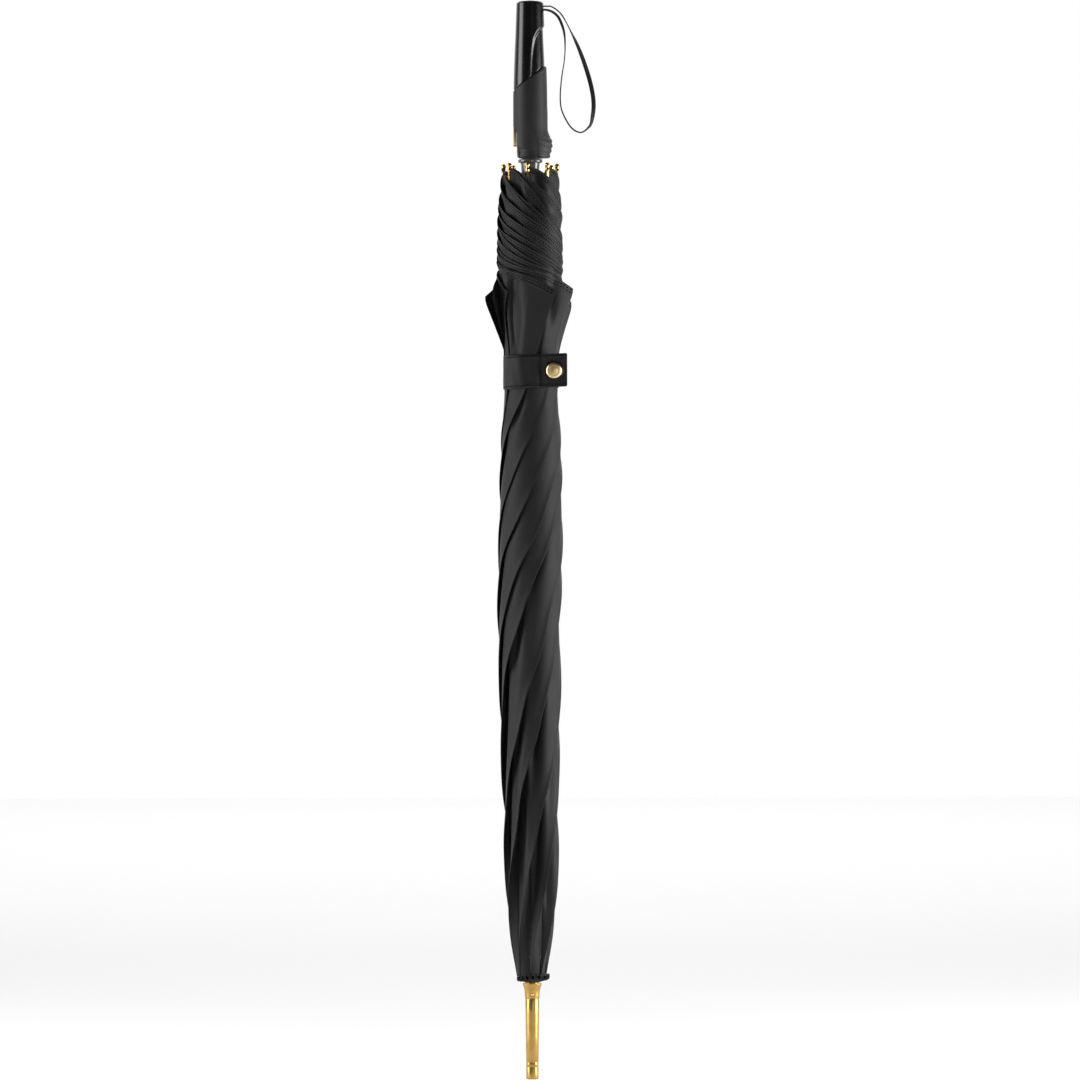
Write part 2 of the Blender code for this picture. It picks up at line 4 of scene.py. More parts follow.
import bmesh
import bpy
import numpy as np
from mathutils import Matrix, Vector
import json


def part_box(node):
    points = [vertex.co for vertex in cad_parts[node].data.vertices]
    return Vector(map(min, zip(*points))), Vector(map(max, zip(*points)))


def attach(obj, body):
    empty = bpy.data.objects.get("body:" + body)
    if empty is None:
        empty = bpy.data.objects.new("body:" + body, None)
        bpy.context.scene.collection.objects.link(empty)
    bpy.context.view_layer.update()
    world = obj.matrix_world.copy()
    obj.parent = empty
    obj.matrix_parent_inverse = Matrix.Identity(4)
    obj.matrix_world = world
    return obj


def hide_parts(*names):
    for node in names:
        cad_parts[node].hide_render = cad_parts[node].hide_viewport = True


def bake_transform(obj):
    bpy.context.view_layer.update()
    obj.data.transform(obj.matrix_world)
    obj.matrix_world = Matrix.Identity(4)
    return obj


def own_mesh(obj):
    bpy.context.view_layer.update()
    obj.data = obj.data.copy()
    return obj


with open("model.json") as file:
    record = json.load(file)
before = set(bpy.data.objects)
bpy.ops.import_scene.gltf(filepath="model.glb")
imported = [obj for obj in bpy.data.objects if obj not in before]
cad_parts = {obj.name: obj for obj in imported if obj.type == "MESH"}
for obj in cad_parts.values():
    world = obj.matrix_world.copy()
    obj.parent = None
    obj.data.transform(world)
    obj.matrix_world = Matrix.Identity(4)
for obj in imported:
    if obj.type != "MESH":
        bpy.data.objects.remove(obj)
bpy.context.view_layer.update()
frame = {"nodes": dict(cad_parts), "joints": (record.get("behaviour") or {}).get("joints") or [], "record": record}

JOINTS = {joint["name"]: joint for joint in frame["joints"]}
RIB_COUNT = 8
RIB_STEP = 360.0 / RIB_COUNT
FIRST_RIB = -96.0  # azimuth of rib 1, in degrees
TRAVEL = JOINTS["runner_slide"]["range_m"][1]
CROWN = np.array([0.0, 0.0, JOINTS["rib_1_hinge"]["pos_m"][2]])
PIVOT_RADIUS = float(np.hypot(*JOINTS["rib_1_hinge"]["pos_m"][:2]))
RATIO = {row["joint"]: row["ratio"] for row in frame["record"]["behaviour"]["couplings"]}
RIB_LEAN = math.radians(0.973)  # how far a closed rib leans out from the shaft


# ---- shape helpers
def curve_through(knots, places):
    """A smooth curve's values through (place, value) knots, held level past both ends."""
    xs = np.array([knot[0] for knot in knots], float)
    ys = np.array([knot[1] for knot in knots], float)
    slopes = np.gradient(ys, xs)
    x = np.clip(np.asarray(places, float), xs[0], xs[-1])
    i = np.clip(np.searchsorted(xs, x, side="right") - 1, 0, len(xs) - 2)
    h = xs[i + 1] - xs[i]
    t = (x - xs[i]) / h
    return (
        ys[i] * (1 + 2 * t) * (1 - t) ** 2
        + slopes[i] * h * t * (1 - t) ** 2
        + ys[i + 1] * t**2 * (3 - 2 * t)
        + slopes[i + 1] * h * t**2 * (t - 1)
    )


def smoothstep(x, low=0.0, high=1.0):
    """A smooth change from 0 at low to 1 at high. The low may be the larger of the two."""
    t = np.clip((np.asarray(x, float) - low) / (high - low), 0.0, 1.0)
    return t * t * (3.0 - 2.0 * t)


def grid_faces(rows, columns, wrap=False):
    """Quads of a grid of rows x columns vertices, closed round the columns when wrap is true."""
    faces = []
    for row in range(0, (rows - 1) * columns, columns):
        for column in range(columns if wrap else columns - 1):
            here = row + column
            beside = row + (column + 1) % columns
            faces.append((here, beside, beside + columns, here + columns))
    return faces


def add_object(name, data):
    item = bpy.data.objects.new(name, data)
    bpy.context.scene.collection.objects.link(item)
    return item


def both_sides(count):
    """(1, share) from share 0 to 1 down the outer side, then (-1, share) back up the inner side."""
    shares = np.linspace(0.0, 1.0, count)
    return [(1, share) for share in shares] + [(-1, share) for share in shares[::-1]]


def piece(name, vertices, faces, body, material, sharp=None, replaces=()):
    """A smooth mesh object that rides on a body."""
    mesh = bpy.data.meshes.new(name)
    mesh.from_pydata([tuple(map(float, v)) for v in vertices], [], faces)
    mesh.update()
    mesh.shade_smooth()
    if sharp is not None:
        mesh.set_sharp_from_angle(angle=math.radians(sharp))
    mesh.materials.append(material)
    item = add_object(name, mesh)
    if body is not None:
        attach(item, body)
    if replaces:
        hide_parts(*replaces)
    return item


def set_uv(item, name, u, v):
    """A UV map from two numbers for each vertex."""
    values = np.stack(np.broadcast_arrays(u, v), axis=-1).reshape(-1, 2).astype(np.float32)
    layer = item.data.uv_layers.new(name=name)
    corner = np.empty(len(item.data.loops), np.int32)
    item.data.loops.foreach_get("vertex_index", corner)
    layer.data.foreach_set("uv", values[corner].ravel())


def outward(item):
    """Turn every face of a closed mesh to face out."""
    shape = bmesh.new()
    shape.from_mesh(item.data)
    bmesh.ops.recalc_face_normals(shape, faces=shape.faces)
    shape.to_mesh(item.data)
    shape.free()


def round_angles(steps, start=0.0):
    """Evenly spaced angles of one turn."""
    return np.linspace(start, start + 2.0 * math.pi, steps, endpoint=False)


def ring(angles, radius, height):
    """Points of a ring round the shaft. Radius and height may change with the angle."""
    points = np.broadcast_arrays(radius * np.cos(angles), radius * np.sin(angles), height)
    return np.stack(points, axis=-1)


def hoop(name, rings, body, material, sharp=None, replaces=(), shape=None, ends=None):
    """A closed piece of rings round an axis: the last ring joins the first, or both close on an end point."""
    rows, columns = np.shape(rings)[:2]
    vertices = np.concatenate(rings)
    faces = grid_faces(rows, columns, wrap=True)
    base = (rows - 1) * columns
    top = rows * columns
    if ends is not None:
        vertices = np.vstack([vertices, ends])
    for i in range(columns):
        j = (i + 1) % columns
        if ends is None:
            faces.append((i, base + i, base + j, j))
        else:
            faces += [(top, j, i), (top + 1, base + i, base + j)]
    if shape is not None:
        vertices = shape(vertices)
    item = piece(name, vertices, faces, body, material, sharp, replaces)
    outward(item)
    return item


def turned(name, outline, body, material, steps=96, sharp=35.0, replaces=(), shape=None):
    """A turned solid. The outline of (radius, height) starts and ends on the axis or closes on itself."""
    rings = [ring(round_angles(steps), r, z) for r, z in outline if r > 0.0]
    solid = outline[0][0] == 0.0
    ends = [(0.0, 0.0, outline[0][1]), (0.0, 0.0, outline[-1][1])] if solid else None
    return hoop(name, rings, body, material, sharp, replaces, shape, ends)


def facing_front(x, back, z):
    """A move that turns a piece's axis to -Y, through (x, z), with its foot at y = back."""
    return lambda v: np.stack([x + v[:, 0], back - v[:, 2], z + v[:, 1]], axis=1)


# ---- materials
def new_material(name, colour, roughness, metallic=0.0, **sockets):
    """A Principled material, with plain numbers set on the shader's own sockets."""
    material = bpy.data.materials.new(name)
    material.use_nodes = True
    shader = material.node_tree.nodes["Principled BSDF"]
    shader.inputs["Base Color"].default_value = (*colour, 1.0)
    shader.inputs["Roughness"].default_value = roughness
    shader.inputs["Metallic"].default_value = metallic
    for socket, value in sockets.items():
        shader.inputs[socket.replace("_", " ")].default_value = value
    return material


class Nodes:
    """Short calls for building the nodes of a material or of the world."""

    def __init__(self, owner):
        self.owner = owner
        self.tree = owner.node_tree
        self.shader = self.tree.nodes.get("Principled BSDF")

    def add(self, kind, **settings):
        node = self.tree.nodes.new(kind)
        for key, value in settings.items():
            if hasattr(node, key):
                setattr(node, key, value)
            else:
                node.inputs[key.replace("_", " ")].default_value = value
        return node

    def link(self, source, target):
        self.tree.links.new(source, target)

    def surface(self, tone, roughness, normal):
        """Feed the shader's colour, roughness and normal, and hand back the material."""
        for socket, source in (("Base Color", tone), ("Roughness", roughness), ("Normal", normal)):
            self.link(source, self.shader.inputs[socket])
        return self.owner

    def uv_parts(self, uv_name):
        """The two numbers of a UV map."""
        split = self.add("ShaderNodeSeparateXYZ")
        self.link(self.add("ShaderNodeUVMap", uv_map=uv_name).outputs["UV"], split.inputs[0])
        return split.outputs[0], split.outputs[1]

    def math(self, operation, a, b=0.0):
        node = self.add("ShaderNodeMath", operation=operation)
        for socket, value in zip(node.inputs, (a, b)):
            if isinstance(value, (int, float)):
                socket.default_value = value
            else:
                self.link(value, socket)
        return node.outputs[0]

    def noise(self, scale, detail, stretch=None):
        node = self.add("ShaderNodeTexNoise", Scale=scale, Detail=detail)
        vector = self.add("ShaderNodeTexCoord").outputs["Object"]
        if stretch is not None:
            mapping = self.add("ShaderNodeMapping")
            mapping.inputs["Scale"].default_value = stretch
            self.link(vector, mapping.inputs["Vector"])
            vector = mapping.outputs["Vector"]
        self.link(vector, node.inputs["Vector"])
        return node.outputs["Fac"]

    def ramp(self, factor, low, high, start, end):
        node = self.add("ShaderNodeValToRGB")
        for element, place, colour in zip(node.color_ramp.elements, (start, end), (low, high)):
            element.position = place
            element.color = (*colour, 1.0)
        self.link(factor, node.inputs["Fac"])
        return node.outputs["Color"]

    def mapped(self, factor, low, high, start=0.0, end=1.0):
        node = self.add("ShaderNodeMapRange")
        for socket, value in zip(("From Min", "From Max", "To Min", "To Max"), (start, end, low, high)):
            node.inputs[socket].default_value = value
        self.link(factor, node.inputs["Value"])
        return node.outputs["Result"]

    def bump(self, height, strength, distance, under=None):
        node = self.add("ShaderNodeBump", Strength=strength, Distance=distance)
        self.link(height, node.inputs["Height"])
        if under is not None:
            self.link(under, node.inputs["Normal"])
        return node.outputs["Normal"]

    def mix(self, factor, under, over):
        """Lay a plain colour over another by a factor."""
        node = self.add("ShaderNodeMix", data_type="RGBA")
        self.link(factor, node.inputs["Factor"])
        self.link(under, node.inputs[6])
        node.inputs[7].default_value = (*over, 1.0)
        return node.outputs[2]


def weave(nodes, thread):
    """Height of a plain weave with threads of one width, on the UV map in metres."""
    turns = [nodes.math("MULTIPLY", place, math.pi / thread) for place in nodes.uv_parts("cloth")]
    return nodes.math("MULTIPLY", *[nodes.math("SINE", turn) for turn in turns])


def stitch_mask(nodes, along, inward, rows, stitch):
    """One on the thread of each row of stitches, and zero between them."""
    pitch, half_width = stitch
    thread_share = 0.6
    dash = nodes.math("LESS_THAN", nodes.math("FRACT", nodes.math("DIVIDE", along, pitch)), thread_share)
    lines = None
    for row in rows:
        near = nodes.math("ABSOLUTE", nodes.math("SUBTRACT", inward, row))
        line = nodes.math("LESS_THAN", near, half_width)
        lines = line if lines is None else nodes.math("MAXIMUM", lines, line)
    return nodes.math("MULTIPLY", lines, dash)


def cloth_material(name, colour, light, thread=0.0004, rows=(), stitch=(0.0029, 0.00042), band_width=0.0062):
    """Tightly woven polyester: weave, faint creases, a soft sheen and, on hems, rows of stitches.

    A stitch is its pitch and half its thread's width. The band is the doubled cloth of a hem."""
    shine = 0.30
    sheen = {"Sheen_Weight": 0.05, "Sheen_Roughness": 0.4, "Specular_IOR_Level": shine}
    nodes = Nodes(new_material(name, colour, 0.6, **sheen))
    cloudy = nodes.noise(38.0, 4.0)
    tone = nodes.ramp(cloudy, colour, light, 0.32, 0.72)
    normal = nodes.bump(weave(nodes, thread), 0.22, 0.00008)
    crease = nodes.noise(60.0, 3.0, stretch=(1.0, 1.0, 0.25))
    normal = nodes.bump(crease, 0.16, 0.0012, normal)
    if rows:
        along, inward = nodes.uv_parts("hem")
        stitches = stitch_mask(nodes, along, inward, rows, stitch)
        tone = nodes.mix(stitches, tone, (0.0015, 0.0015, 0.0015))
        soft_edge = 0.0004
        band = nodes.mapped(inward, 1.0, 0.0, band_width - soft_edge, band_width + soft_edge)
        tone = nodes.mix(nodes.math("MULTIPLY", band, 0.35), tone, (0.007, 0.007, 0.0075))
        nodes.link(nodes.mapped(stitches, shine, 0.0), nodes.shader.inputs["Specular IOR Level"])
        normal = nodes.bump(stitches, 0.8, 0.0005, normal)
        normal = nodes.bump(band, 0.7, 0.0004, normal)
    return nodes.surface(tone, nodes.mapped(cloudy, 0.52, 0.72), normal)


def gold_material(name, colour, dark, roughness, brushed=True):
    """Satin gold: drawn lines round the piece, and slight tarnish."""
    nodes = Nodes(new_material(name, colour, roughness, 1.0))
    tarnish = nodes.noise(90.0, 4.0)
    lines = nodes.noise(40.0, 2.0, stretch=(1.0, 1.0, 60.0) if brushed else (6.0, 6.0, 6.0))
    return nodes.surface(
        nodes.ramp(tarnish, dark, colour, 0.25, 0.55),
        nodes.mapped(lines, roughness - 0.06, roughness + 0.12),
        nodes.bump(lines, 0.10, 0.0001),
    )


def steel_material(name, colour, roughness):
    """Plated steel with fine drawing marks along the shaft and a little grime."""
    nodes = Nodes(new_material(name, colour, roughness, 1.0))
    grime = nodes.noise(45.0, 4.0)
    dark = tuple(0.6 * c for c in colour)
    marks = nodes.noise(220.0, 2.0, stretch=(1.0, 1.0, 0.03))
    return nodes.surface(
        nodes.ramp(grime, dark, colour, 0.3, 0.6),
        nodes.mapped(marks, roughness - 0.08, roughness + 0.14),
        nodes.bump(marks, 0.08, 0.0001),
    )


def gloss_material(name, colour, roughness, coat):
    """Polished moulded plastic with faint swirl marks."""
    nodes = Nodes(new_material(name, colour, roughness, Coat_Weight=coat, Coat_Roughness=0.12))
    swirl = nodes.noise(22.0, 3.0)
    lighter = tuple(c * 1.6 + 0.002 for c in colour)
    return nodes.surface(
        nodes.ramp(swirl, colour, lighter, 0.3, 0.9),
        nodes.mapped(swirl, roughness * 0.85, roughness * 1.2),
        nodes.bump(nodes.noise(30.0, 1.0), 0.02, 0.001),
    )


def soft_material(name, colour):
    """Soft-touch rubber paint: a very fine grain, matt, slightly polished where it is held."""
    nodes = Nodes(new_material(name, colour, 0.55, Sheen_Weight=0.03, Specular_IOR_Level=0.32))
    grain = nodes.noise(2600.0, 2.0)
    handled = nodes.noise(34.0, 3.0)
    lighter = tuple(c * 1.35 for c in colour)
    return nodes.surface(
        nodes.ramp(handled, colour, lighter, 0.3, 0.75),
        nodes.mapped(handled, 0.48, 0.62),
        nodes.bump(grain, 0.25, 0.00012),
    )


CLOTH_COLOURS = ((0.0080, 0.0080, 0.0083), (0.0120, 0.0120, 0.0125))
HEM_ROWS = (0.0020, 0.0042)  # distance of a hem's two rows of stitches from its edge
CANOPY = cloth_material("canopy_cloth", *CLOTH_COLOURS, rows=HEM_ROWS)
PANEL = cloth_material("canopy_panel_cloth", *CLOTH_COLOURS, rows=HEM_ROWS)
STRAP = cloth_material(
    "strap_cloth", (0.0060, 0.0060, 0.0063), (0.0090, 0.0090, 0.0094),
    rows=(0.0022,), stitch=(0.0026, 0.00050), band_width=0.0035,
)
DARK_CLOTH = cloth_material("gathered_cloth", (0.005, 0.005, 0.0055), (0.009, 0.009, 0.010), thread=0.0005)
RIBBON = cloth_material("ribbon", (0.006, 0.006, 0.0065), (0.011, 0.011, 0.012), thread=0.0005)
GOLD = gold_material("satin_gold", (0.55, 0.35, 0.11), (0.42, 0.25, 0.07), 0.30)
GOLD_TIP = gold_material("bright_gold", (0.74, 0.50, 0.21), (0.52, 0.31, 0.10), 0.16, brushed=False)
# Real gold-coloured metal, but lighter than the other gold: the lighter colour paints light onto the snap's face
# and the push button (painted light).
GOLD_PAINTED_LIGHT = gold_material("gold_with_painted_light", (0.86, 0.66, 0.36), (0.74, 0.52, 0.24), 0.36, brushed=False)
STEEL = steel_material("plated_steel", (0.50, 0.50, 0.51), 0.32)
DARK_STEEL = steel_material("spring_steel_dark", (0.28, 0.28, 0.29), 0.38)
GLOSS = gloss_material("piano_black", (0.002, 0.002, 0.0022), 0.23, 0.20)
# The runner is black gloss plastic; this grey base colour paints the reflections on it (painted reflection).
GREY_GLOSS_PAINTED_REFLECTION = gloss_material("gloss_grey_painted_reflection", (0.085, 0.085, 0.09), 0.16, 0.4)
# The end disc is a real part; its pale grey colour paints the highlight along the top of the handle (painted
# highlight).
END_DISC_PAINTED_HIGHLIGHT = gloss_material("grey_plastic_painted_highlight", (0.45, 0.45, 0.46), 0.22, 0.3)
SOFT = soft_material("soft_touch", (0.014, 0.014, 0.0147))


# ---- camera and light
ROOM = 0.05  # brightness of the room on the camera's side


def make_camera():
    """Level with the umbrella's middle, looking along +Y through a long lens."""
    data = bpy.data.cameras.new("camera")
    camera = add_object("camera", data)
    data.sensor_width = 36.0
    data.lens = 200.0
    data.clip_end = 50.0
    seen_height = 0.9817
    distance = seen_height * data.lens / data.sensor_width
    roll = 0.00227
    camera.location = (0.0080, -distance, 0.4900)
    camera.rotation_euler = (math.pi / 2.0, roll, 0.0)
    bpy.context.scene.camera = camera


def soft_box(name, place, target, width, height, power):
    """A rectangular area light that faces a point."""
    data = bpy.data.lights.new(name, "AREA")
    data.shape = "RECTANGLE"
    data.size = width
    data.size_y = height
    data.energy = power
    light = add_object(name, data)
    light.location = place
    direction = Vector(target) - Vector(place)
    light.rotation_euler = direction.to_track_quat("-Z", "Y").to_euler()


def make_backdrop():
    """A world that is white behind the umbrella and dim on the camera's side."""
    world = bpy.data.worlds.new("studio")
    world.use_nodes = True
    nodes = Nodes(world)
    split = nodes.add("ShaderNodeSeparateXYZ")
    nodes.link(nodes.add("ShaderNodeTexCoord").outputs["Generated"], split.inputs[0])
    back_share = nodes.math("ADD", nodes.math("MULTIPLY", split.outputs[1], 0.5), 0.5)
    light = nodes.ramp(back_share, (ROOM, ROOM, ROOM), (1.0, 1.0, 1.0), 0.66, 0.92)
    nodes.link(light, world.node_tree.nodes["Background"].inputs["Color"])
    bpy.context.scene.world = world


def make_studio():
    """The backdrop, soft boxes on both sides, a small one for the snap, and a lit white floor."""
    make_backdrop()
    soft_box("left_box", (-1.38, -0.28, 0.60), (0.0, 0.0, 0.5), 0.80, 2.0, 25.0)
    soft_box("right_box", (1.40, -0.24, 0.33), (0.0, 0.0, 0.33), 0.80, 1.40, 33.0)
    soft_box("snap_box", (0.75, -2.4, 0.66), (0.0, 0.0, 0.66), 0.60, 0.45, 4.0)
    soft_box("floor_box", (0.0, 4.8, 3.0), (0.0, 4.8, 0.0), 8.0, 8.0, 250.0)
    half = 6.0
    level = -0.003
    corners = [(-half, -half, level), (half, -half, level), (half, half, level), (-half, half, level)]
    ground = piece("floor", corners, [(0, 1, 2, 3)], None, new_material("floor", (0.95, 0.95, 0.95), 0.9))
    bpy.context.scene.view_settings.view_transform = "Standard"


# ---- wrist strap
STRAP_KNOTS = [  # the ribbon's route, from the handle's top round the loop and back
    (0.0100, 0.0, 0.9750), (0.0150, 0.0, 0.9752), (0.0200, 0.0, 0.9746),
    (0.0282, -0.0005, 0.9681), (0.0359, -0.0010, 0.9545), (0.0455, -0.0015, 0.9335),
    (0.0542, -0.0010, 0.9072), (0.0576, 0.0, 0.8872), (0.0559, 0.0008, 0.8708),
    (0.0525, 0.0010, 0.8645), (0.0455, 0.0012, 0.8604), (0.0368, 0.0012, 0.8654),
    (0.0291, 0.0010, 0.8794), (0.0273, 0.0008, 0.8917), (0.0285, 0.0005, 0.9090),
    (0.0309, 0.0005, 0.9245), (0.0318, 0.0005, 0.9372), (0.0309, 0.0005, 0.9517),
    (0.0264, 0.0003, 0.9641), (0.0209, 0.0, 0.9697), (0.0150, 0.0, 0.9718),
    (0.0100, 0.0, 0.9720),
]
STRAP_TWIST = [  # share of the ribbon's length, and its turn there in degrees
    (0.0, 14.0), (0.08, 12.0), (0.13, 6.0), (0.19, 40.0), (0.27, 74.0), (0.38, 88.0), (0.44, 62.0),
    (0.49, 12.0), (0.55, 8.0), (0.7, 6.0), (0.82, 4.0), (0.92, 28.0), (1.0, 12.0),
]


def smooth_route(knots, count):
    """Evenly spaced points along a smooth curve through the knots, and the curve's length."""
    steps = 20 * (len(knots) - 1)
    places = np.linspace(0.0, len(knots) - 1.0, steps + 1)
    fine = np.stack([curve_through(list(enumerate(axis)), places) for axis in zip(*knots)], axis=1)
    walked = np.concatenate([[0.0], np.cumsum(np.linalg.norm(np.diff(fine, axis=0), axis=1))])
    places = np.linspace(0.0, walked[-1], count)
    return np.stack([np.interp(places, walked, axis) for axis in fine.T], axis=1), walked[-1]


def rounded_section(width, thickness, corner):
    """Outline of a flat ribbon's section, with rounded corners."""
    section = []
    for sx, sz in ((1, 1), (-1, 1), (-1, -1), (1, -1)):
        for step in range(4):
            angle = math.atan2(sz, sx) - math.pi / 4 + (step / 3) * math.pi / 2
            section.append((
                sx * (width / 2 - corner) + corner * math.cos(angle),
                sz * (thickness / 2 - corner) + corner * math.sin(angle),
            ))
    return section


def make_wrist_strap():
    """A flat woven ribbon that twists as it hangs."""
    route, length = smooth_route(STRAP_KNOTS, 200)
    width = 0.0040
    section = rounded_section(width, 0.0009, 0.00035)
    tangents = np.gradient(route, axis=0)
    tangents /= np.linalg.norm(tangents, axis=1)[:, None]
    share = np.linspace(0.0, 1.0, len(route))
    twist = np.radians(curve_through(STRAP_TWIST, share))
    flat = np.array([0.0, 1.0, 0.0])
    vertices = []
    uv = []
    for i, (point, tangent, turn) in enumerate(zip(route, tangents, twist)):
        side = np.cross(tangent, flat)
        side /= np.linalg.norm(side)
        across = math.cos(turn) * flat + math.sin(turn) * side
        up = np.cross(tangent, across)
        for a, b in section:
            vertices.append(point + across * a + up * b)
            uv.append((a, share[i] * length))
    count = len(section)
    faces = grid_faces(len(route), count, wrap=True)
    faces.append(tuple(range(count))[::-1])
    faces.append(tuple((len(route) - 1) * count + i for i in range(count)))
    strap = piece(
        "wrist_strap_ribbon", vertices, faces, "root", RIBBON, 50.0, ("wrist_strap",)
    )
    outward(strap)
    set_uv(strap, "cloth", *np.array(uv).T)


# ---- wound canopy
CROWN_LOW = 0.0938
TIP_FOLD = 0.7150  # height of the fold's tip, where the two halves of a hem meet
TIP_RIB = 0.8285  # height of the hem at its rib's tip
WIND = [  # height and how far the fold has wound round, in degrees from its rib
    (CROWN_LOW, 0.0), (0.2000, 50.0), (0.3000, 104.0), (0.3800, 149.0),
    (0.4500, 195.0), (0.5080, 243.0), (0.5810, 311.0), (0.6280, 355.0),
    (0.6590, 379.0), (TIP_FOLD, 403.0),
]
BUNDLE = [  # height and outer radius of the wound bundle
    (CROWN_LOW, 0.0134), (0.1000, 0.0144), (0.1260, 0.0190), (0.1630, 0.0228),
    (0.2080, 0.0245), (0.2540, 0.0257), (0.2990, 0.0263), (0.3450, 0.0275),
    (0.4170, 0.0285), (0.4810, 0.0288), (0.5400, 0.0281), (0.5900, 0.0262),
    (0.6200, 0.0244), (0.6440, 0.0239), (0.6620, 0.0245), (0.6850, 0.0264),
    (0.7030, 0.0283), (0.7200, 0.0293), (0.7600, 0.0293), (0.7900, 0.0286),
    (0.8080, 0.0268), (TIP_RIB, 0.0252),
]
HEM = [  # share of the way from rib to fold, and the hem's height there
    (0.00, TIP_RIB), (0.06, 0.8250), (0.12, 0.8180), (0.20, 0.8060),
    (0.35, 0.7845), (0.50, 0.7645), (0.62, 0.7490), (0.72, 0.7395),
    (0.82, 0.7335), (0.90, 0.7285), (0.95, 0.7230), (1.00, TIP_FOLD),
]
LEAN = [  # height and how far the wound cloth sits to the +X side
    (CROWN_LOW, -0.0006), (0.2080, -0.0005), (0.2700, -0.0012), (0.3450, -0.0012),
    (0.4170, -0.0020), (0.4810, -0.0007), (0.5720, 0.0), (0.6440, 0.0),
    (0.7000, -0.0006), (TIP_RIB, -0.0004),
]
CORE = 0.0085  # nothing of the canopy reaches further in than this
SINK = 0.80  # how much of the room between two ribs the innermost layers fill
COVER = 0.0012  # least thickness of cloth over a rib
EDGE_RISE = 0.00080  # how far a fold's edge stands up from the layer under it
HALF_HEM = 0.248  # half of a gore's edge at the hem, measured along the cloth
GORE_LENGTH = 0.724  # from crown to hem along a rib
FLAP_FOOT = 0.6600  # height where the folds' tips begin to stand out from the bundle
FLAP_RISE = 0.0500  # height over which they come to stand out fully
VALLEYS = ((-40.0, 11.0, 0.55), (-127.0, 9.0, 0.42))  # azimuth, width and depth of hollows between flaps

# One value for each gore, as no two folds of a hand-rolled umbrella lie alike
FOLD_SHIFT = (0.0, 9.0, 1.0, 4.0, -5.0, 4.0, -3.0, 5.0)  # the fold's place, in degrees from even spacing
TIP_SHIFT = (0.0, -9.0, -17.0, -3.0, 4.0, 6.0, 3.0, -40.0)  # and how much further its tip has gone
FLARE = (0.0095, 0.0098, 0.0112, 0.0095, 0.0085, 0.0112, 0.0106, 0.0006)  # how far its tip stands out
HEM_DROP = (0.0, 0.0030, 0.0, 0.0040, 0.0, 0.0030, 0.0150, 0.0010)  # how far its hem hangs in the middle
TIP_DROP = (-0.0017, -0.0031, 0.0088, 0.0020, 0.0, 0.0037, -0.0008, 0.0)  # and at the fold's tip


def rib_line(height):
    """Radius just outside the rib bars at rest."""
    return PIVOT_RADIUS + 0.0043 + (height - CROWN[2]) * 0.01698


def hem_height(gore, share):
    """Height of a gore's hem at a share of the way from its rib tip to the fold's tip."""
    low_middle = HEM_DROP[gore] * np.sin(math.pi * np.clip(share / 0.7, 0.0, 1.0)) ** 2
    return curve_through(HEM, share) - low_middle - TIP_DROP[gore] * smoothstep(share, 0.86, 1.0)


def hem_share(gore, height):
    """The share of the half gore whose hem lies at a height: the cloth there reaches no further."""
    shares = np.linspace(1.0, 0.0, 400)
    return np.interp(height, hem_height(gore, shares), shares)


def wound_angle(gore, share, climb):
    """How far round the bundle the fold has gone at this height, with each fold's own irregular path."""
    fold_height = CROWN_LOW + climb * (TIP_FOLD - CROWN_LOW)
    shift = FOLD_SHIFT[gore] * smoothstep(climb, 0.05, 0.4)
    shift = shift + TIP_SHIFT[gore] * smoothstep(fold_height, 0.60, 0.70)
    ripple = 2.2 * np.sin(fold_height * 41.0 + gore * 2.1) + 1.6 * np.sin(fold_height * 83.0 + gore * 1.3)
    own = (shift + ripple * smoothstep(climb, 0.03, 0.25)) * smoothstep(share, 0.3, 1.0)
    return curve_through(WIND, fold_height) + own


def valley_share(azimuth, height):
    """What the hollows between the flaps leave of the bundle's thickness over the ribs."""
    near = smoothstep(height, 0.6640, 0.7000) * (1.0 - smoothstep(height, 0.7060, 0.7420))
    left = 1.0
    for valley, width, deep in VALLEYS:
        off = np.mod(azimuth - valley + 180.0, 360.0) - 180.0
        left = left * (1.0 - deep * near * np.exp(-((off / width) ** 2)))
    return left


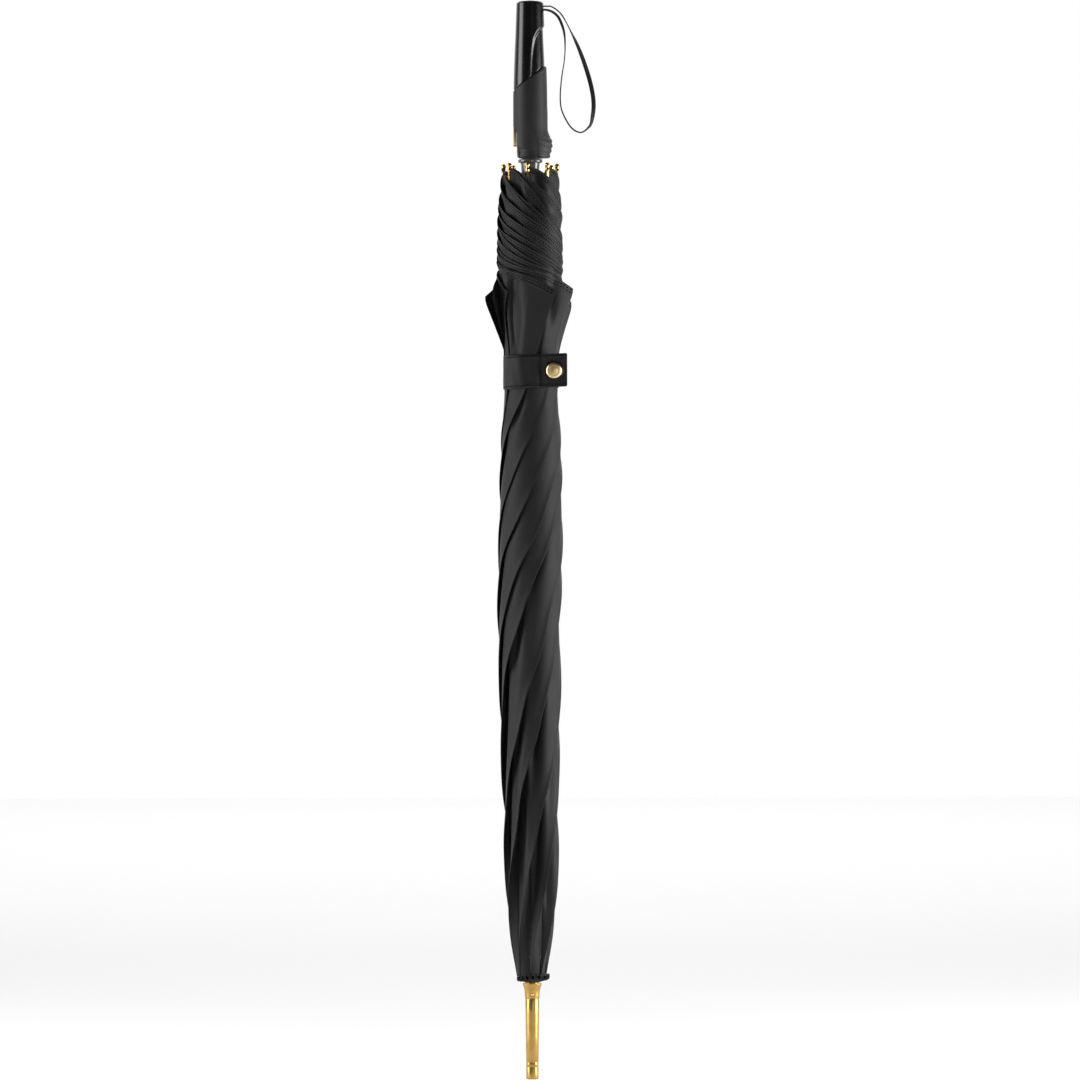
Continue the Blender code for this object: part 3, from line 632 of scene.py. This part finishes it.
def leaf_points(gore, share, climb, inner):
    """Points of one half of a folded gore, at shares from rib to fold and from crown to hem."""
    height = CROWN_LOW + climb * (hem_height(gore, share) - CROWN_LOW)
    fold_height = CROWN_LOW + climb * (TIP_FOLD - CROWN_LOW)
    wound = wound_angle(gore, share, climb)
    start = FIRST_RIB + gore * RIB_STEP
    if inner:
        azimuth = start + RIB_STEP + share * (wound - RIB_STEP)
    else:
        azimuth = start + share * wound

    # each layer lies between the ribs and the bundle's outside, by how far it is from the fold
    outer = curve_through(BUNDLE, height)
    low = np.minimum(rib_line(height), outer - COVER)
    full = hem_share(gore, height)
    radius = low + (outer - low) * np.clip(share / np.maximum(full, 0.02), 0.0, 1.0)
    from_edge = (full - share) * np.maximum(wound, 30.0)
    edge = np.exp(-((from_edge / 4.0) ** 2)) - 0.9 * np.exp(-(((from_edge - RIB_STEP) / 9.0) ** 2))
    radius = radius + EDGE_RISE * edge * smoothstep(climb, 0.03, 0.12)
    radius = low + (radius - low) * valley_share(azimuth, height)

    # the folds' tips stand out as flaps
    fin = np.clip(1.0 - (1.0 - share) * wound / 36.0, 0.0, 1.0)
    flare = FLARE[gore] * np.clip((fold_height - FLAP_FOOT) / FLAP_RISE, 0.0, 1.0) ** 1.3 * fin**1.7
    radius = radius + flare
    if inner:
        pitch = (outer - low) * RIB_STEP / np.maximum(wound, RIB_STEP)
        radius = radius - np.clip(0.42 * pitch, 0.00008, 0.0007) - 0.10 * flare * (1.0 - share)

    # the innermost layers sink in between the ribs
    between = 0.5 - 0.5 * np.cos(2.0 * math.pi * (azimuth - FIRST_RIB) / RIB_STEP)
    sunk = 1.0 - smoothstep((radius - low) / np.maximum(outer - low, COVER), 0.42, 0.92)
    sunk = sunk * smoothstep(height, 0.115, 0.200) * (1.0 - 0.7 * smoothstep(height, 0.770, 0.815))
    radius = radius - SINK * np.maximum(low - CORE, 0.0) * between * sunk
    points = ring(np.radians(azimuth), radius, height)
    points[..., 0] += curve_through(LEAN, height)
    return points


def fold_rim(outer, inner):
    """The round edge of a fold, from the outer half's last column to the inner half's first."""
    centre = (outer[:, -1] + inner[:, 0]) / 2.0
    arm = (outer[:, -1] - inner[:, 0]) / 2.0
    size = np.linalg.norm(arm, axis=1)[:, None]
    along = outer[:, -1] - outer[:, -2]
    along /= np.maximum(np.linalg.norm(along, axis=1)[:, None], 1e-9)
    turns = np.radians(np.arange(30.0, 180.0, 30.0))
    return np.stack([centre + arm * math.cos(turn) + along * size * math.sin(turn) for turn in turns], axis=1)


def make_wound_gore(gore):
    """One gore, folded double along its middle and wound round the bundle, as a single sheet."""
    rows = 170
    leaf = 66
    climb = np.linspace(0.0, 1.0, rows)[:, None]
    share = 1.0 - (1.0 - np.linspace(0.0, 1.0, leaf)) ** 1.25
    back = share[::-1]
    outer = leaf_points(gore, share[None, :], climb, False)
    inner = leaf_points(gore, back[None, :], climb, True)
    rim = fold_rim(outer, inner)
    grid = np.concatenate([outer, rim, inner], axis=1)
    columns = grid.shape[1]
    item = piece(
        f"wound_gore_{gore + 1}", grid.reshape(-1, 3), grid_faces(rows, columns), "root", CANOPY,
    )
    on_rim = rim.shape[1]
    from_rib = np.concatenate([share, np.ones(on_rim), back])
    width = np.concatenate([-HALF_HEM * (1 - share), np.zeros(on_rim), HALF_HEM * (1 - back)])
    flat_length = 0.67
    set_uv(item, "cloth", width * climb, climb * flat_length)
    hem_rise = 0.111
    hem_slant = math.hypot(1.0, hem_rise / HALF_HEM)
    set_uv(item, "hem", width, (1.0 - climb) * (hem_height(gore, from_rib) - CROWN_LOW) / hem_slant)
    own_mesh(item)
    return item


def make_wound_canopy():
    items = [make_wound_gore(gore) for gore in range(RIB_COUNT)]
    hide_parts(*[f"gore_{i + 1}" for i in range(RIB_COUNT)])


# ---- the panels that span the open frame
def turn_about(axis, angle, point):
    """A 4x4 turn by an angle about an axis through a point."""
    shift = Matrix.Translation(Vector(point))
    return np.array(shift) @ np.array(Matrix.Rotation(angle, 4, Vector(axis))) @ np.array(shift.inverted())


def open_frames(gore):
    """The rib's move at full opening, and a function giving the gore hinge's move by a share of its angle."""
    rib = JOINTS[f"rib_{gore + 1}_hinge"]
    hinge = JOINTS[f"gore_{gore + 1}_hinge"]
    rib_move = turn_about(rib["axis"], RATIO[rib["name"]] * TRAVEL, rib["pos_m"])
    angle = RATIO[hinge["name"]] * TRAVEL
    return rib_move, lambda share: turn_about(hinge["axis"], share * angle, hinge["pos_m"])


def open_place(azimuth, climb):
    """A point over an open rib, at a share of the way from crown to hem."""
    lean = RIB_LEAN + RATIO["rib_1_hinge"] * TRAVEL
    bar = 0.0046
    out = PIVOT_RADIUS + climb * GORE_LENGTH * math.sin(lean) + bar * math.cos(lean)
    up = CROWN[2] + climb * GORE_LENGTH * math.cos(lean) - bar * math.sin(lean)
    return np.array([out * math.cos(azimuth), out * math.sin(azimuth), up])


def open_panel(start, end, radial, rows, columns):
    """Points of a gore stretched between two open ribs, drawn in and up a little in its middle."""
    places = []
    for climb in np.linspace(0.004, 1.0, rows):
        first = open_place(start, climb)
        last = open_place(end, climb)
        for across in np.linspace(0.0, 1.0, columns):
            belly = 4.0 * across * (1.0 - across)
            point = first * (1 - across) + last * across
            places.append(point - 0.020 * belly * climb**2 * radial + np.array([0, 0, 0.012 * belly * climb]))
    return np.array(places)


def make_panel(gore):
    """The gore stretched between two ribs of the open frame, held slack inside the bundle while it is closed.

    So halving steps find the place at rest whose share brings the point to its place on the open frame."""
    rows = 40
    columns = 25
    halvings = 22
    rib_move, hinge_move = open_frames(gore)
    start = math.radians(FIRST_RIB + gore * RIB_STEP)
    end = start + math.radians(RIB_STEP)
    middle = (start + end) / 2.0
    radial = np.array([math.cos(middle), math.sin(middle), 0.0])
    direction = np.array([-math.sin(middle), math.cos(middle), 0.0])
    from_shaft = 0.018
    reach = 0.0085
    begin = radial * from_shaft - direction * reach
    finish = radial * from_shaft + direction * reach
    span = finish - begin
    targets = open_panel(start, end, radial, rows, columns)
    homogeneous = np.concatenate([targets, np.ones((len(targets), 1))], axis=1)
    local = homogeneous @ np.linalg.inv(rib_move).T

    def rest_place(shares):
        return np.array([(np.linalg.inv(hinge_move(s)) @ point)[:3] for s, point in zip(shares, local)])

    low = np.zeros(len(targets))
    high = np.ones(len(targets))
    for _ in range(halvings):
        guess = (low + high) / 2.0
        along = ((rest_place(guess) - begin) @ span) / (span @ span)
        above = smoothstep(along) > guess
        low = np.where(above, guess, low)
        high = np.where(above, high, guess)
    places = rest_place((low + high) / 2.0)
    radius = np.hypot(places[:, 0], places[:, 1])
    height = np.clip(places[:, 2], CROWN_LOW, TIP_RIB)
    allowed = np.minimum(curve_through(BUNDLE, height) - 0.0026, rib_line(height) + 0.0002)
    places[:, :2] *= np.minimum(1.0, allowed / np.maximum(radius, 1e-6))[:, None]
    item = piece(
        f"canopy_panel_{gore + 1}", places, grid_faces(rows, columns), f"rib_{gore + 1}_body", PANEL,
    )
    climbs = np.repeat(np.linspace(0.0, 1.0, rows), columns)
    crosses = np.tile(np.linspace(-HALF_HEM, HALF_HEM, columns), rows)
    set_uv(item, "cloth", crosses * climbs, climbs * GORE_LENGTH)
    set_uv(item, "hem", crosses, (1.0 - climbs) * GORE_LENGTH)
    item.parent = None
    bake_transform(item)


# ---- crown, ferrule and runner
def make_rosette():
    """A gathered disc of cloth: its edge waves up and down under the crown."""
    angles = round_angles(192)
    waves = 17
    thickness = 0.0007
    hole = 0.0068
    breadth = 0.0080
    foot = 0.0886
    rings = []
    for side, u in both_sides(14):
        wave = np.sin(waves * angles + 0.7 * np.sin(3 * angles)) * smoothstep(u, 0.25, 1.0)
        tuck = np.sin(2 * waves * angles + 1.0) * 0.35 * smoothstep(u, 0.5, 1.0)
        height = foot + 0.0042 * u**1.5 + 0.0019 * wave + 0.0008 * tuck + side * thickness / 2
        points = ring(angles, hole + breadth * u + 0.0006 * tuck * u, height)
        points[:, 0] += 0.0010 * u
        points[:, 2] += 0.06 * points[:, 0] * u
        rings.append(points)
    item = hoop("rosette_gathered", rings, "root", DARK_CLOTH, None, ("rosette",))
    set_uv(item, "cloth", *np.concatenate(rings).T[:2])


def make_crown_cap():
    """The crown of the canopy, a shallow gathered cone with fine pleats over the top of the bundle."""
    profile = [
        (0.0066, 0.0893), (0.0078, 0.0893), (0.0092, 0.0922), (0.0128, 0.0938),
        (0.0138, 0.0952), (0.0126, 0.0962), (0.0100, 0.0964), (0.0066, 0.0964),
    ]
    pleats = 24
    depth = 0.00035
    angles = round_angles(160)
    rings = []
    for radius, height in profile:
        pleat = depth * np.sin(pleats * angles) * smoothstep(radius, 0.009, 0.0135)
        rings.append(ring(angles, radius + pleat, height))
    item = hoop("crown_pleats", rings, "root", CANOPY, None, ("canopy_crown",))
    x, y = np.concatenate(rings).T[:2]
    set_uv(item, "cloth", x, y)
    past_hem = 1.0
    set_uv(item, "hem", 0.0 * x, past_hem)


def make_ferrule():
    """The long tube with two rings turned into it near the tip."""
    outline = [
        (0.0, 0.1080), (0.0040, 0.1080), (0.0049, 0.1071), (0.0049, 0.0880), (0.0059, 0.0878),
        (0.0059, 0.0734), (0.0063, 0.0728), (0.0062, 0.0600), (0.0060, 0.0400),
    ]
    for low, high in ((0.0153, 0.0160), (0.0108, 0.0115)):
        outline += [(0.00575, high + 0.0004), (0.0055, high), (0.0055, low), (0.00572, low - 0.0004)]
    outline += [(0.0056, 0.0016), (0.0054, 0.0006), (0.0048, 0.0), (0.0, 0.0)]
    turned("ferrule_turned", outline, "root", GOLD, replaces=("ferrule",))


def make_cup():
    """The flared cup that holds the ferrule against the crown, and its rivet."""
    cup = [
        (0.00865, 0.0872), (0.00862, 0.0864), (0.0084, 0.0852), (0.0077, 0.0832), (0.0071, 0.0810),
        (0.0068, 0.0785), (0.0067, 0.0750), (0.0066, 0.0740), (0.0064, 0.0736), (0.0062, 0.0738),
        (0.0062, 0.0870), (0.0078, 0.0873),
    ]
    turned("ferrule_cup_turned", cup, "root", GOLD, replaces=("ferrule_cup",))
    head = [(0.0, 0.0013), (0.0004, 0.00125), (0.0009, 0.0010), (0.0012, 0.0006), (0.0012, 0.0), (0.0, 0.0)]
    move = facing_front(0.0, -0.0062, 0.0773)
    turned("cup_rivet_head", head, "root", GOLD_TIP, 32, replaces=("cup_rivet",), shape=move)


def make_runner():
    """The runner's sleeve, with its flange under the handle."""
    outline = [
        (0.0076, 0.8590), (0.0076, 0.8556), (0.0070, 0.8552), (0.0070, 0.8380), (0.0078, 0.8370),
        (0.0079, 0.8362), (0.0108, 0.8359), (0.0112, 0.8354), (0.0113, 0.8344), (0.0112, 0.8335),
        (0.0107, 0.8330), (0.0089, 0.8325), (0.0084, 0.8300), (0.0080, 0.8250), (0.0078, 0.8192),
        (0.0072, 0.8184), (0.0072, 0.7445), (0.0110, 0.7445), (0.0110, 0.7355), (0.0062, 0.7355),
        (0.0062, 0.8590),
    ]
    # grey base colour of the sleeve is painted reflection on black gloss plastic
    turned("runner_sleeve", outline, "runner_body", GREY_GLOSS_PAINTED_REFLECTION, replaces=("runner",))


def make_tips():
    """Turned gold tips: a ball on a waisted cap."""
    outline = [
        (0.0, 0.0031), (0.0008, 0.0030), (0.0016, 0.0025), (0.0021, 0.0016), (0.0023, 0.0005),
        (0.0021, -0.0007), (0.0016, -0.0014), (0.0015, -0.0019), (0.0019, -0.0026), (0.0020, -0.0046),
        (0.0018, -0.0052), (0.0, -0.0052),
    ]
    ball = 0.0032  # from the tip's end down to the middle of its ball
    for i in range(RIB_COUNT):
        azimuth = math.radians(FIRST_RIB + i * RIB_STEP)
        low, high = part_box(f"rib_tip_{i + 1}")
        middle = (Vector(low) + Vector(high)) / 2.0
        place = Matrix.Translation((middle.x, middle.y, high[2] - ball))
        matrix = np.array(place @ Matrix.Rotation(azimuth, 4, "Z") @ Matrix.Rotation(RIB_LEAN, 4, "Y"))
        turned(
            f"rib_tip_turned_{i + 1}", outline, f"rib_{i + 1}_body", GOLD_TIP, 32, 50.0,
            (f"rib_tip_{i + 1}",), lambda v, matrix=matrix: v @ matrix[:3, :3].T + matrix[:3, 3],
        )


# ---- tie strap and snap
STRAP_LOW = 0.6281
STRAP_TOP = 0.6584
STRAP_RADIUS = 0.0250
STRAP_TILT = 0.035  # the strap is pulled up a little towards its snap


def tilted(x, height):
    """Height on the tilted strap."""
    return height + STRAP_TILT * (x - 0.0100)


def strap_uv(item, places):
    """UVs from (place along the strap, height), and the distance from the nearer edge for the stitches."""
    along, height = np.array(places).T
    set_uv(item, "cloth", along, height)
    set_uv(item, "hem", along, np.minimum(height - STRAP_LOW, STRAP_TOP - height) + 0.0002)


def make_tie_strap():
    """A doubled band of canopy cloth round the bundle, puckered a little."""
    half_thickness = 0.0004
    angles = round_angles(220)
    rings = []
    flat = []
    for side, v in both_sides(15):
        pucker = 0.00025 * np.sin(5 * angles + 1.0) + 0.00018 * np.sin(13 * angles + 3.0 * v)
        radius = STRAP_RADIUS + pucker - 0.0003 * (2 * v - 1) ** 4 + side * half_thickness
        sway = 0.0004 * np.sin(2 * angles + 0.5) * (2 * v - 1)
        height = STRAP_LOW + (STRAP_TOP - STRAP_LOW) * v + sway
        rings.append(ring(angles, radius, tilted(radius * np.cos(angles), height)))
        flat += zip(radius * angles, height)
    band = hoop("tie_strap_band", rings, "rib_1_body", STRAP, None, ("tie_strap",))
    strap_uv(band, flat)
    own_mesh(band)


def slab(name, low_x, high_x, y_of, thickness, body, replaces=()):
    """A flat stitched end of doubled strap that follows y_of(x) from low_x to high_x."""
    corner = 0.0012  # of the rounded corners at its free end
    columns = both_sides(40)
    rows = 22
    vertices = []
    flat = []
    for side, u in columns:
        x = low_x + (high_x - low_x) * u
        inset = corner * (1.0 - math.sqrt(max(0.0, 1.0 - max(0.0, (u - 0.95) / 0.05) ** 2)))
        for v in np.linspace(0.0, 1.0, rows):
            z = STRAP_LOW + inset + (STRAP_TOP - STRAP_LOW - 2 * inset) * v
            edge = 1.0 - 0.55 * max(abs(2 * v - 1) ** 8, u**30)
            bulge = 0.00012 * math.sin(9.0 * u + 4.0 * v)
            vertices.append((x, y_of(x) - side * thickness / 2 * edge + bulge, tilted(x, z)))
            flat.append((x, z))
    total = len(columns)
    faces = grid_faces(total, rows)
    last = (total - 1) * rows
    faces += [(last + row, last + row + 1, row + 1, row) for row in range(rows - 1)]
    for edge in (0, rows - 1):
        for column in range(total // 2 - 1):
            back = total - 1 - column
            faces.append(tuple(place * rows + edge for place in (column, column + 1, back - 1, back)))
    item = piece(name, vertices, faces, body, STRAP, 60.0, replaces)
    outward(item)
    strap_uv(item, flat)


def make_strap_end():
    """The strap's two ends, pressed together by the snap: the back one fixed, the front one the loose tab."""
    back = -0.0226
    front = -0.0252
    blend = 0.0012  # how far each end leans towards the band near its inner edge
    slab(
        "strap_back_end", 0.0060, 0.0300, lambda x: back - blend * smoothstep(x, 0.014, 0.006), 0.0009,
        "rib_1_body",
    )
    slab(
        "strap_tab_end", 0.0092, 0.0330, lambda x: front + blend * smoothstep(x, 0.0160, 0.0092), 0.0010,
        "strap_tab_body", ("strap_tab",),
    )


def make_snap():
    """The gold cap with a plain ring, the black collar under it and the stud on the other end."""
    low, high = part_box("snap_cap")
    place = (Vector(low) + Vector(high)) / 2.0
    on_tab = facing_front(place.x, high[1], place.z)
    cap = [
        (0.0, 0.00225), (0.0010, 0.00222), (0.0030, 0.00205), (0.0038, 0.00190), (0.0041, 0.00176),
        (0.0044, 0.00185), (0.0054, 0.00165), (0.0064, 0.00122), (0.0070, 0.00070), (0.0073, 0.00020),
        (0.0073, -0.0003), (0.0, -0.0003),
    ]
    # the cap's lighter gold is painted light on its face
    turned("snap_cap_turned", cap, "strap_tab_body", GOLD_PAINTED_LIGHT, 72, 30.0, ("snap_cap",), on_tab)
    collar = [
        (0.0088, 0.00005), (0.0085, 0.00065), (0.0076, 0.00080), (0.0074, 0.00030), (0.0074, -0.0003),
        (0.0088, -0.0003),
    ]
    turned("snap_collar", collar, "strap_tab_body", GLOSS, 72, 35.0, (), on_tab)
    low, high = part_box("snap_stud")
    deep = high[1] - low[1]
    behind = facing_front(place.x, high[1], place.z)
    stud = [
        (0.0, deep), (0.0026, deep), (0.0028, deep * 0.5), (0.0050, deep * 0.4), (0.0055, 0.0), (0.0, 0.0),
    ]
    turned("snap_stud_turned", stud, "rib_1_body", GLOSS, 48, 35.0, ("snap_stud",), behind)


# ---- handle
HANDLE_LOW = 0.8372
HANDLE_TOP = 0.9797
HANDLE = [  # height and radius of the handle's outer side
    (HANDLE_LOW, 0.0139), (0.8430, 0.0144), (0.8500, 0.0150), (0.8720, 0.0152), (0.9000, 0.0151),
    (0.9250, 0.0144), (0.9500, 0.0133), (0.9720, 0.0125), (HANDLE_TOP, 0.0122),
]
MEAN_RADIUS = 0.0149  # of the handle where the grip ends
SLOPE = math.tan(math.radians(36.4))  # of the grip's upper edge
PLANE_HEIGHT = 0.9099  # where that edge crosses the handle's axis
PANEL_EDGE = [  # degrees from the +X side, and height of the glossy panel's curved upper edge
    (0.0, 0.9580), (30.0, 0.9567), (55.0, 0.9534), (76.0, 0.9474),
    (86.0, 0.9400), (91.0, 0.9320), (95.0, 0.9180), (98.0, 0.9000),
]
REST_EDGE = [  # height, and degrees from the +X side of the border of the finger rest's face
    (0.8380, 62.0), (0.8500, 68.0), (0.8600, 78.0), (0.8750, 92.0), (0.8950, 97.0),
]


def grip_edge(angle):
    """Height of the grip's sloping edge round the handle."""
    return PLANE_HEIGHT + MEAN_RADIUS * np.cos(angle) * SLOPE


def finger_rest(angle, height):
    """How far the finger rest stands out, on the +X side near the handle's foot."""
    side = np.exp(-((np.degrees(angle) / 40.0) ** 2))
    rise = smoothstep(height, 0.8640, 0.8490) * (0.0042 - 0.0014 * smoothstep(height, 0.8480, HANDLE_LOW))
    ridge_pitch = 0.0048
    turns = (height + 0.35 * MEAN_RADIUS * angle - HANDLE_LOW) / ridge_pitch
    ridge = 0.00075 * np.maximum(0.0, np.sin(2.0 * math.pi * turns)) ** 1.5
    return side * (rise + ridge * smoothstep(height, 0.8585, 0.8540))


def foot_notch(angle, height):
    """The collar at the foot: stepped in under the button, and flush with the finger rest opposite."""
    side = ((1.0 - np.cos(angle)) / 2.0) ** 1.3
    line = 0.8472 - 0.0040 * (1.0 + np.cos(angle))
    return 0.0027 * side * smoothstep(line + 0.0005 - height, 0.0, 0.0011)


def rest_facet(angle, height):
    """The slightly raised face that leads into the finger rest, with a curved border."""
    inside = smoothstep(curve_through(REST_EDGE, height) - np.degrees(np.abs(angle)), 0.0, 7.0)
    return 0.00035 * inside * smoothstep(height, 0.8900, 0.8740)


def flat_side(radius, angle, height, depth):
    """Cut the -X side back to a flat face round the button, with a sloping upper end."""
    limit = depth + np.maximum(radius - depth, 0.0) * smoothstep(height, 0.8606, 0.8662)
    facing = np.maximum(-np.cos(angle), 1e-3)
    return np.minimum(radius, np.where(np.cos(angle) < 0.0, limit / facing, radius))


def panel_depth(angle, height, radius):
    """How far in from its upper and side edges a point of the glossy panel is, or less than 0 outside it."""
    turn = np.degrees(np.abs(angle))
    widest = PANEL_EDGE[-1][0]
    below = np.where(turn < widest, curve_through(PANEL_EDGE, turn), 0.0) - height
    sides = [(edge_height, edge_turn) for edge_turn, edge_height in reversed(PANEL_EDGE)]
    beside = np.radians(curve_through(sides, height) - turn) * radius
    return np.minimum(below, np.maximum(beside, 0.0))


def make_shell():
    """The glossy core and its top, with a stepped-in panel between the outer shell and the grip."""
    angles = round_angles(200, -math.pi)
    foot = HANDLE_LOW + 0.0006
    rounding = 0.0026  # of the top edge
    height = np.linspace(foot, HANDLE_TOP, 260)[:, None]
    angle = angles[None, :]
    drop = np.clip((height - (HANDLE_TOP - rounding)) / rounding, 0.0, 1.0)
    outside = curve_through(HANDLE, height) - rounding * (1.0 - np.sqrt(1.0 - drop**2))
    under_grip = smoothstep(height, grip_edge(angle) + 0.0004, grip_edge(angle) - 0.0004)
    radius = outside - 0.0020 * under_grip
    inside = panel_depth(angle, height, radius)
    radius = radius - 0.0015 * smoothstep(inside, 0.0, 0.0040) * (1.0 - under_grip)
    radius = np.where(height > 0.8440, flat_side(radius, angle, height, 0.0119), radius)
    rings = list(ring(angle, radius, height))
    rim = HANDLE[-1][1] - rounding
    for inset in (0.0008, 0.0020, 0.0036, 0.0043, 0.0045):
        rings.append(ring(angles, rim - inset, HANDLE_TOP))
    for bore, level in ((0.0054, HANDLE_TOP), (0.0054, 0.9766), (0.0083, foot)):
        rings.append(ring(angles, bore, level))
    hoop("handle_shell_glossy", rings, "root", GLOSS, 40.0, ("handle_shell",))


def make_grip():
    """The soft sleeve, thick at its bevelled sloping edge, with the finger rest and its ridges."""
    angles = round_angles(240, -math.pi)
    top = grip_edge(angles) - 0.0003
    rings = []
    for share in np.linspace(0.0, 1.0, 150):
        height = HANDLE_LOW + (top - HANDLE_LOW) * share
        radius = curve_through(HANDLE, height) + 0.0003
        radius = radius + finger_rest(angles, height) + rest_facet(angles, height)
        radius = flat_side(radius - foot_notch(angles, height), angles, height, 0.0122)
        bevel = smoothstep(top - height, 0.0012, 0.0)
        foot = smoothstep(height, HANDLE_LOW + 0.0012, HANDLE_LOW)
        rings.append(ring(angles, radius - 0.0009 * bevel - 0.0006 * foot, height))
    for share, step_in in ((1.0, 0.0), (0.5, 0.0), (0.0, 0.0022)):
        height = HANDLE_LOW + (top - HANDLE_LOW) * share
        inner = np.minimum(curve_through(HANDLE, height) - 0.0016, 0.0130)
        rings.append(ring(angles, inner - step_in, height))
    hoop("handle_grip_soft", rings, "root", SOFT, 40.0, ("handle_grip",))


def make_end_disc():
    top = 0.9805
    foot = 0.9769
    cap = [(0.0, top), (0.0042, top), (0.0047, 0.9803), (0.0050, 0.9798), (0.0050, foot), (0.0, foot)]
    # the disc's pale grey paints the highlight at the handle's top edge
    turned("handle_end_disc", cap, "root", END_DISC_PAINTED_HIGHLIGHT, 64, replaces=("handle_end_cap",))


def make_button():
    """A domed button with rounded corners, a little narrower at the top, in the CAD button's box."""
    low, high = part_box("push_button")
    centre = (Vector(low) + Vector(high)) / 2.0
    half = (Vector(high) - Vector(low)) / 2.0
    power = 5.0  # of the rounded square's outline
    shape = bmesh.new()
    bmesh.ops.create_cube(shape, size=2.0)
    bmesh.ops.subdivide_edges(shape, edges=shape.edges, cuts=7, use_grid_fill=True)
    places = []
    for vertex in shape.verts:
        u = vertex.co
        norm = (abs(u.y) ** power + abs(u.z) ** power) ** (1.0 / power)
        round_off = max(abs(u.y), abs(u.z)) / norm if norm > 1e-6 else 1.0
        taper = 1.0 - 0.18 * float(smoothstep(u.z, 0.2, 1.0))
        dome = 1.0 - 0.30 * (u.y * round_off) ** 2 - 0.12 * (u.z * round_off) ** 6
        places.append((
            centre.x + half.x * u.x * (dome if u.x < 0 else 1.0),
            centre.y + half.y * u.y * round_off * taper,
            centre.z + half.z * u.z * round_off,
        ))
    shape.verts.index_update()
    faces = [[vertex.index for vertex in face.verts] for face in shape.faces]
    shape.free()
    # the button shares the lighter gold that paints light on it
    piece("push_button_gold", places, faces, "button_body", GOLD_PAINTED_LIGHT, 50.0, ("push_button",))


def finish_frame_parts():
    """Better materials for the CAD nodes that stay."""
    looks = {"opening_spring": DARK_STEEL, "button_spring": DARK_STEEL, "spring_plug": GLOSS}
    for name in ("shaft_tube", "crown_hub", "crown_wire", "stop_pin", "drive_pin", "strap_pin", "latch"):
        looks[name] = STEEL
    for i in range(RIB_COUNT):
        looks[f"rib_{i + 1}"] = GOLD
        looks[f"stretcher_{i + 1}"] = STEEL
    for name, material in looks.items():
        node = frame["nodes"][name]
        node.data.materials.clear()
        node.data.materials.append(material)


make_camera()
make_wrist_strap()
make_studio()
make_wound_canopy()
for index in range(RIB_COUNT):
    make_panel(index)
make_crown_cap()
make_rosette()
make_ferrule()
make_cup()
make_runner()
make_tips()
make_tie_strap()
make_strap_end()
make_snap()
make_shell()
make_grip()
make_end_disc()
make_button()
finish_frame_parts()
